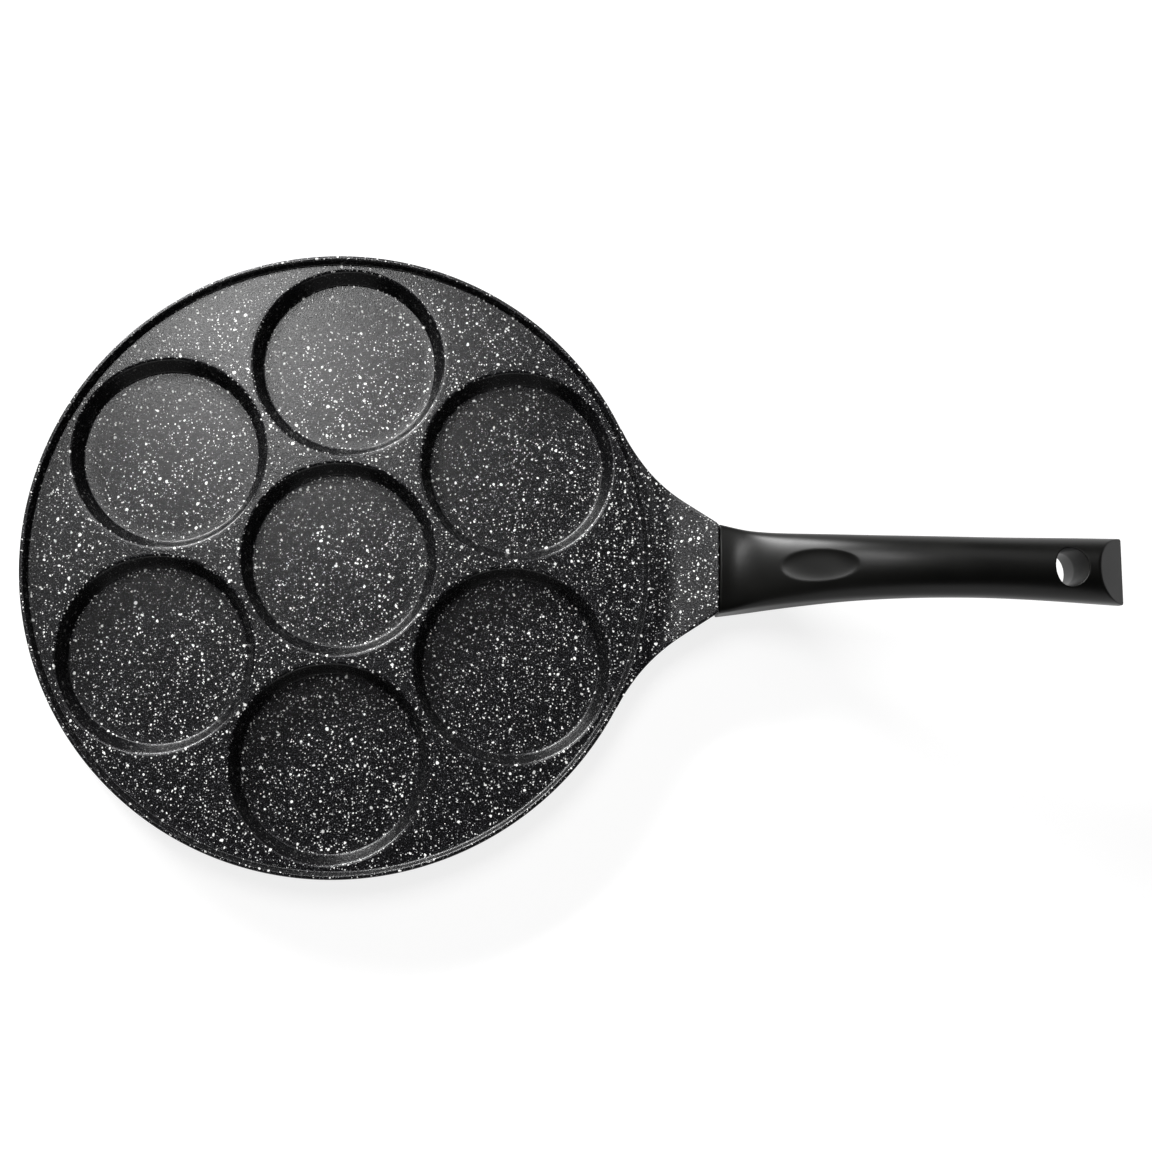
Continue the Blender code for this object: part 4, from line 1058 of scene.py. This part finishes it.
def turning_marks(tree):
    """Return heights that change only with the distance from the pan's middle, as a lathe leaves them."""
    place = add_node(tree, "TexCoord").outputs["Object"]
    flat = add_node(tree, "VectorMath", {0: place, 1: (1.0, 1.0, 0.0)}, operation="MULTIPLY")
    radius = add_node(tree, "VectorMath", {0: flat}, operation="LENGTH").outputs["Value"]
    return add_node(tree, "TexNoise", {"W": radius, **TURNING}, noise_dimensions="1D")


def plating_cloud(tree):
    """Return the soft clouds of about 1 mm that a plating bath leaves."""
    place = add_node(tree, "TexCoord").outputs["Object"]
    return add_node(tree, "TexNoise", {"Vector": place, **PLATING})


def metal(name, code, pattern, shade, roughness, depth=None):
    """Return a metal: its pattern darkens its colour, moves its roughness and may raise its surface."""
    material, tree, shader = new_material(name)
    shader.inputs["Metallic"].default_value = 1.0
    marks = pattern(tree)
    tones = {0: marks, 6: linear(code), 7: linear(code, shade)}
    colour = add_node(tree, "Mix", tones, data_type="RGBA").outputs[2]
    lay_surface(tree, shader, colour, marks, roughness, marks if depth else None, depth)
    return material


def turned_aluminium(colours):
    """Cast aluminium, faced on a lathe at about 0.3 mm a turn, drawn at 0.8 mm so that it shows as bright
    rings."""
    relief = {"shade": 0.86, "roughness": (0.26, 0.40), "depth": 0.00002}
    return metal("turned_aluminium", colours.aluminium, turning_marks, **relief)


def ground_stainless(colours):
    """Ferritic stainless sheet, faced together with the base: darker and yellower than the aluminium, with
    the same rings."""
    relief = {"shade": 0.86, "roughness": (0.22, 0.36), "depth": 0.000015}
    return metal("faced_stainless", colours.steel, turning_marks, **relief)


def zinc_plate(colours):
    """Steel with bright zinc plating: a pale, faintly blue grey, slightly cloudy from the bath."""
    return metal("zinc_plated_steel", colours.zinc, plating_cloud, shade=0.8, roughness=(0.24, 0.42))


FINISHES = {
    "coating": stone_effect_coating,
    "moulding": moulded_phenolic,
    "aluminium": turned_aluminium,
    "stainless": ground_stainless,
    "zinc": zinc_plate,
}
MADE = {}


def finish(context, name):
    """Return the material of a finish, made once."""
    if name not in MADE:
        MADE[name] = FINISHES[name](context.scene.blini_colours)
    return MADE[name]


class BLINI_OT_casting(bpy.types.Operator):
    """Build the cast body with its wells, lip, neck and tang"""

    bl_idname = "blini.casting"
    bl_label = "Pan casting"

    def execute(self, context):
        sizes = context.scene.blini_sizes
        metals = [finish(context, "coating"), finish(context, "aluminium")]
        body = body_sheets(sizes) + stud_sheets()
        make_piece("casting_body", body, metals, "pan_casting")
        make_piece("casting_neck", neck_sheets(sizes), metals, "pan_casting")
        make_piece("casting_tang", tang_sheets(sizes), metals[1:], "pan_casting")
        return {"FINISHED"}


class BLINI_OT_disc(bpy.types.Operator):
    """Build the perforated base disc"""

    bl_idname = "blini.disc"
    bl_label = "Base disc"

    def execute(self, context):
        sheets = disc_sheets(context.scene.blini_sizes)
        make_piece("perforated_disc", sheets, [finish(context, "stainless")], "base_disc")
        return {"FINISHED"}


class BLINI_OT_handle(bpy.types.Operator):
    """Build the moulded handle"""

    bl_idname = "blini.handle"
    bl_label = "Handle"

    def execute(self, context):
        sheets = handle_sheets(context.scene.blini_sizes)
        make_piece("moulded_handle", sheets, [finish(context, "moulding")], "handle")
        return {"FINISHED"}


class BLINI_OT_screw_set(bpy.types.Operator):
    """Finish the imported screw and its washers"""

    bl_idname = "blini.screw_set"
    bl_label = "Screw and washers"

    def execute(self, context):
        for name in ("handle_screw", "spring_washer", "flat_washer"):
            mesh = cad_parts[name].data
            mesh.materials.clear()
            mesh.materials.append(finish(context, "zinc"))
        return {"FINISHED"}


def set_backdrop(scene, sky):
    """Light the scene evenly from all round, and show the camera a plain pale backdrop instead."""
    world = bpy.data.worlds.new("studio")
    world.use_nodes = True
    scene.world = world
    tree = world.node_tree
    eye = add_node(tree, "LightPath").outputs["Is Camera Ray"]
    shown = add_node(tree, "Math", {0: eye, 1: BACKDROP_LEVEL}, operation="MULTIPLY")
    level = add_node(tree, "Math", {0: shown, 1: sky}, operation="MAXIMUM")
    set_inputs(tree, tree.nodes["Background"], {"Color": WHITE, "Strength": level})


def lay_floor(scene, code):
    """Lay a pale floor that keeps the pan's shadow, shows in its gloss and is clear from below."""
    corners = FLOOR_REACH * np.array([(-1.0, -1.0), (1.0, -1.0), (1.0, 1.0), (-1.0, 1.0)])
    mesh = bpy.data.meshes.new("floor")
    mesh.from_pydata([(x, y, -FLOOR_BELOW) for x, y in corners.tolist()], [], [(0, 1, 2, 3)])
    floor = bpy.data.objects.new("floor", mesh)
    scene.collection.objects.link(floor)
    material, tree, shader = new_material("floor_paper")
    path = add_node(tree, "LightPath")
    eyes = {0: path.outputs["Is Camera Ray"], 1: path.outputs["Is Glossy Ray"]}
    either = add_node(tree, "Math", eyes, operation="MAXIMUM")
    glow = add_node(tree, "Math", {0: either, 1: BACKDROP_LEVEL}, operation="MULTIPLY")
    set_inputs(tree, shader, {"Base Color": linear(code), "Roughness": FLOOR_ROUGHNESS})
    set_inputs(tree, shader, {"Emission Color": WHITE, "Emission Strength": glow})
    below = add_node(tree, "NewGeometry").outputs["Backfacing"]
    sides = add_node(tree, "MixShader", {0: below, 1: shader, 2: add_node(tree, "BsdfTransparent")})
    set_inputs(tree, tree.nodes["Material Output"], {"Surface": sides})
    mesh.materials.append(material)


def hang_lamp(scene, name, power, sides, tilt, heading, distance):
    """Hang an area light that faces the pan's middle, at a tilt from the vertical and a heading."""
    light = bpy.data.lights.new(name, "AREA")
    light.energy = power
    light.shape = "RECTANGLE"
    light.size, light.size_y = sides
    item = bpy.data.objects.new(name, light)
    turn = Matrix.Rotation(math.radians(heading), 4, "Z") @ Matrix.Rotation(math.radians(tilt), 4, "Y")
    item.location = turn @ Vector((0.0, 0.0, distance))
    item.rotation_euler = item.location.to_track_quat("Z", "Y").to_euler()
    scene.collection.objects.link(item)


def set_camera(scene):
    """Set the camera where the photograph was taken from."""
    camera = bpy.data.cameras.new("camera")
    camera.lens = CAMERA_LENS
    camera.sensor_width = CAMERA_SENSOR
    camera.shift_x, camera.shift_y = CAMERA_SHIFT
    item = bpy.data.objects.new("camera", camera)
    item.location = CAMERA_PLACE
    item.rotation_euler = [math.radians(angle) for angle in CAMERA_DEGREES]
    scene.collection.objects.link(item)
    scene.camera = item


class BLINI_OT_stage(bpy.types.Operator):
    """Set up the floor, the light and the camera"""

    bl_idname = "blini.stage"
    bl_label = "Stage"

    def execute(self, context):
        scene = context.scene
        stage = scene.blini_stage
        scene.view_settings.view_transform = "Standard"
        set_backdrop(scene, stage.sky)
        lay_floor(scene, stage.floor)
        for name, lamp in LAMPS.items():
            hang_lamp(scene, name, getattr(stage, name), *lamp)
        set_camera(scene)
        return {"FINISHED"}


OPERATORS = (BLINI_OT_casting, BLINI_OT_disc, BLINI_OT_handle, BLINI_OT_screw_set, BLINI_OT_stage)


class BLINI_PT_panel(bpy.types.Panel):
    """Lists the operators and the settings"""

    bl_idname = "BLINI_PT_panel"
    bl_label = "Blini pan"
    bl_space_type = "VIEW_3D"
    bl_region_type = "UI"
    bl_category = "Blini pan"

    def draw(self, context):
        for operator in OPERATORS:
            self.layout.operator(operator.bl_idname)
        for group in (context.scene.blini_sizes, context.scene.blini_colours, context.scene.blini_stage):
            box = self.layout.box()
            for name in group.__annotations__:
                box.prop(group, name)


CLASSES = (BliniPanSizes, BliniPanColours, BliniPanStage, *OPERATORS, BLINI_PT_panel)


def register():
    """Register the classes and hang the settings on the scene."""
    for item in CLASSES:
        bpy.utils.register_class(item)
    bpy.types.Scene.blini_sizes = PointerProperty(type=BliniPanSizes)
    bpy.types.Scene.blini_colours = PointerProperty(type=BliniPanColours)
    bpy.types.Scene.blini_stage = PointerProperty(type=BliniPanStage)


def unregister():
    """Take the settings and the classes away again."""
    del bpy.types.Scene.blini_stage, bpy.types.Scene.blini_colours, bpy.types.Scene.blini_sizes
    for item in reversed(CLASSES):
        bpy.utils.unregister_class(item)


def main():
    """Build every piece and the stage."""
    register()
    bpy.ops.blini.casting()
    bpy.ops.blini.disc()
    bpy.ops.blini.handle()
    bpy.ops.blini.screw_set()
    bpy.ops.blini.stage()


if __name__ == "__main__":
    main()
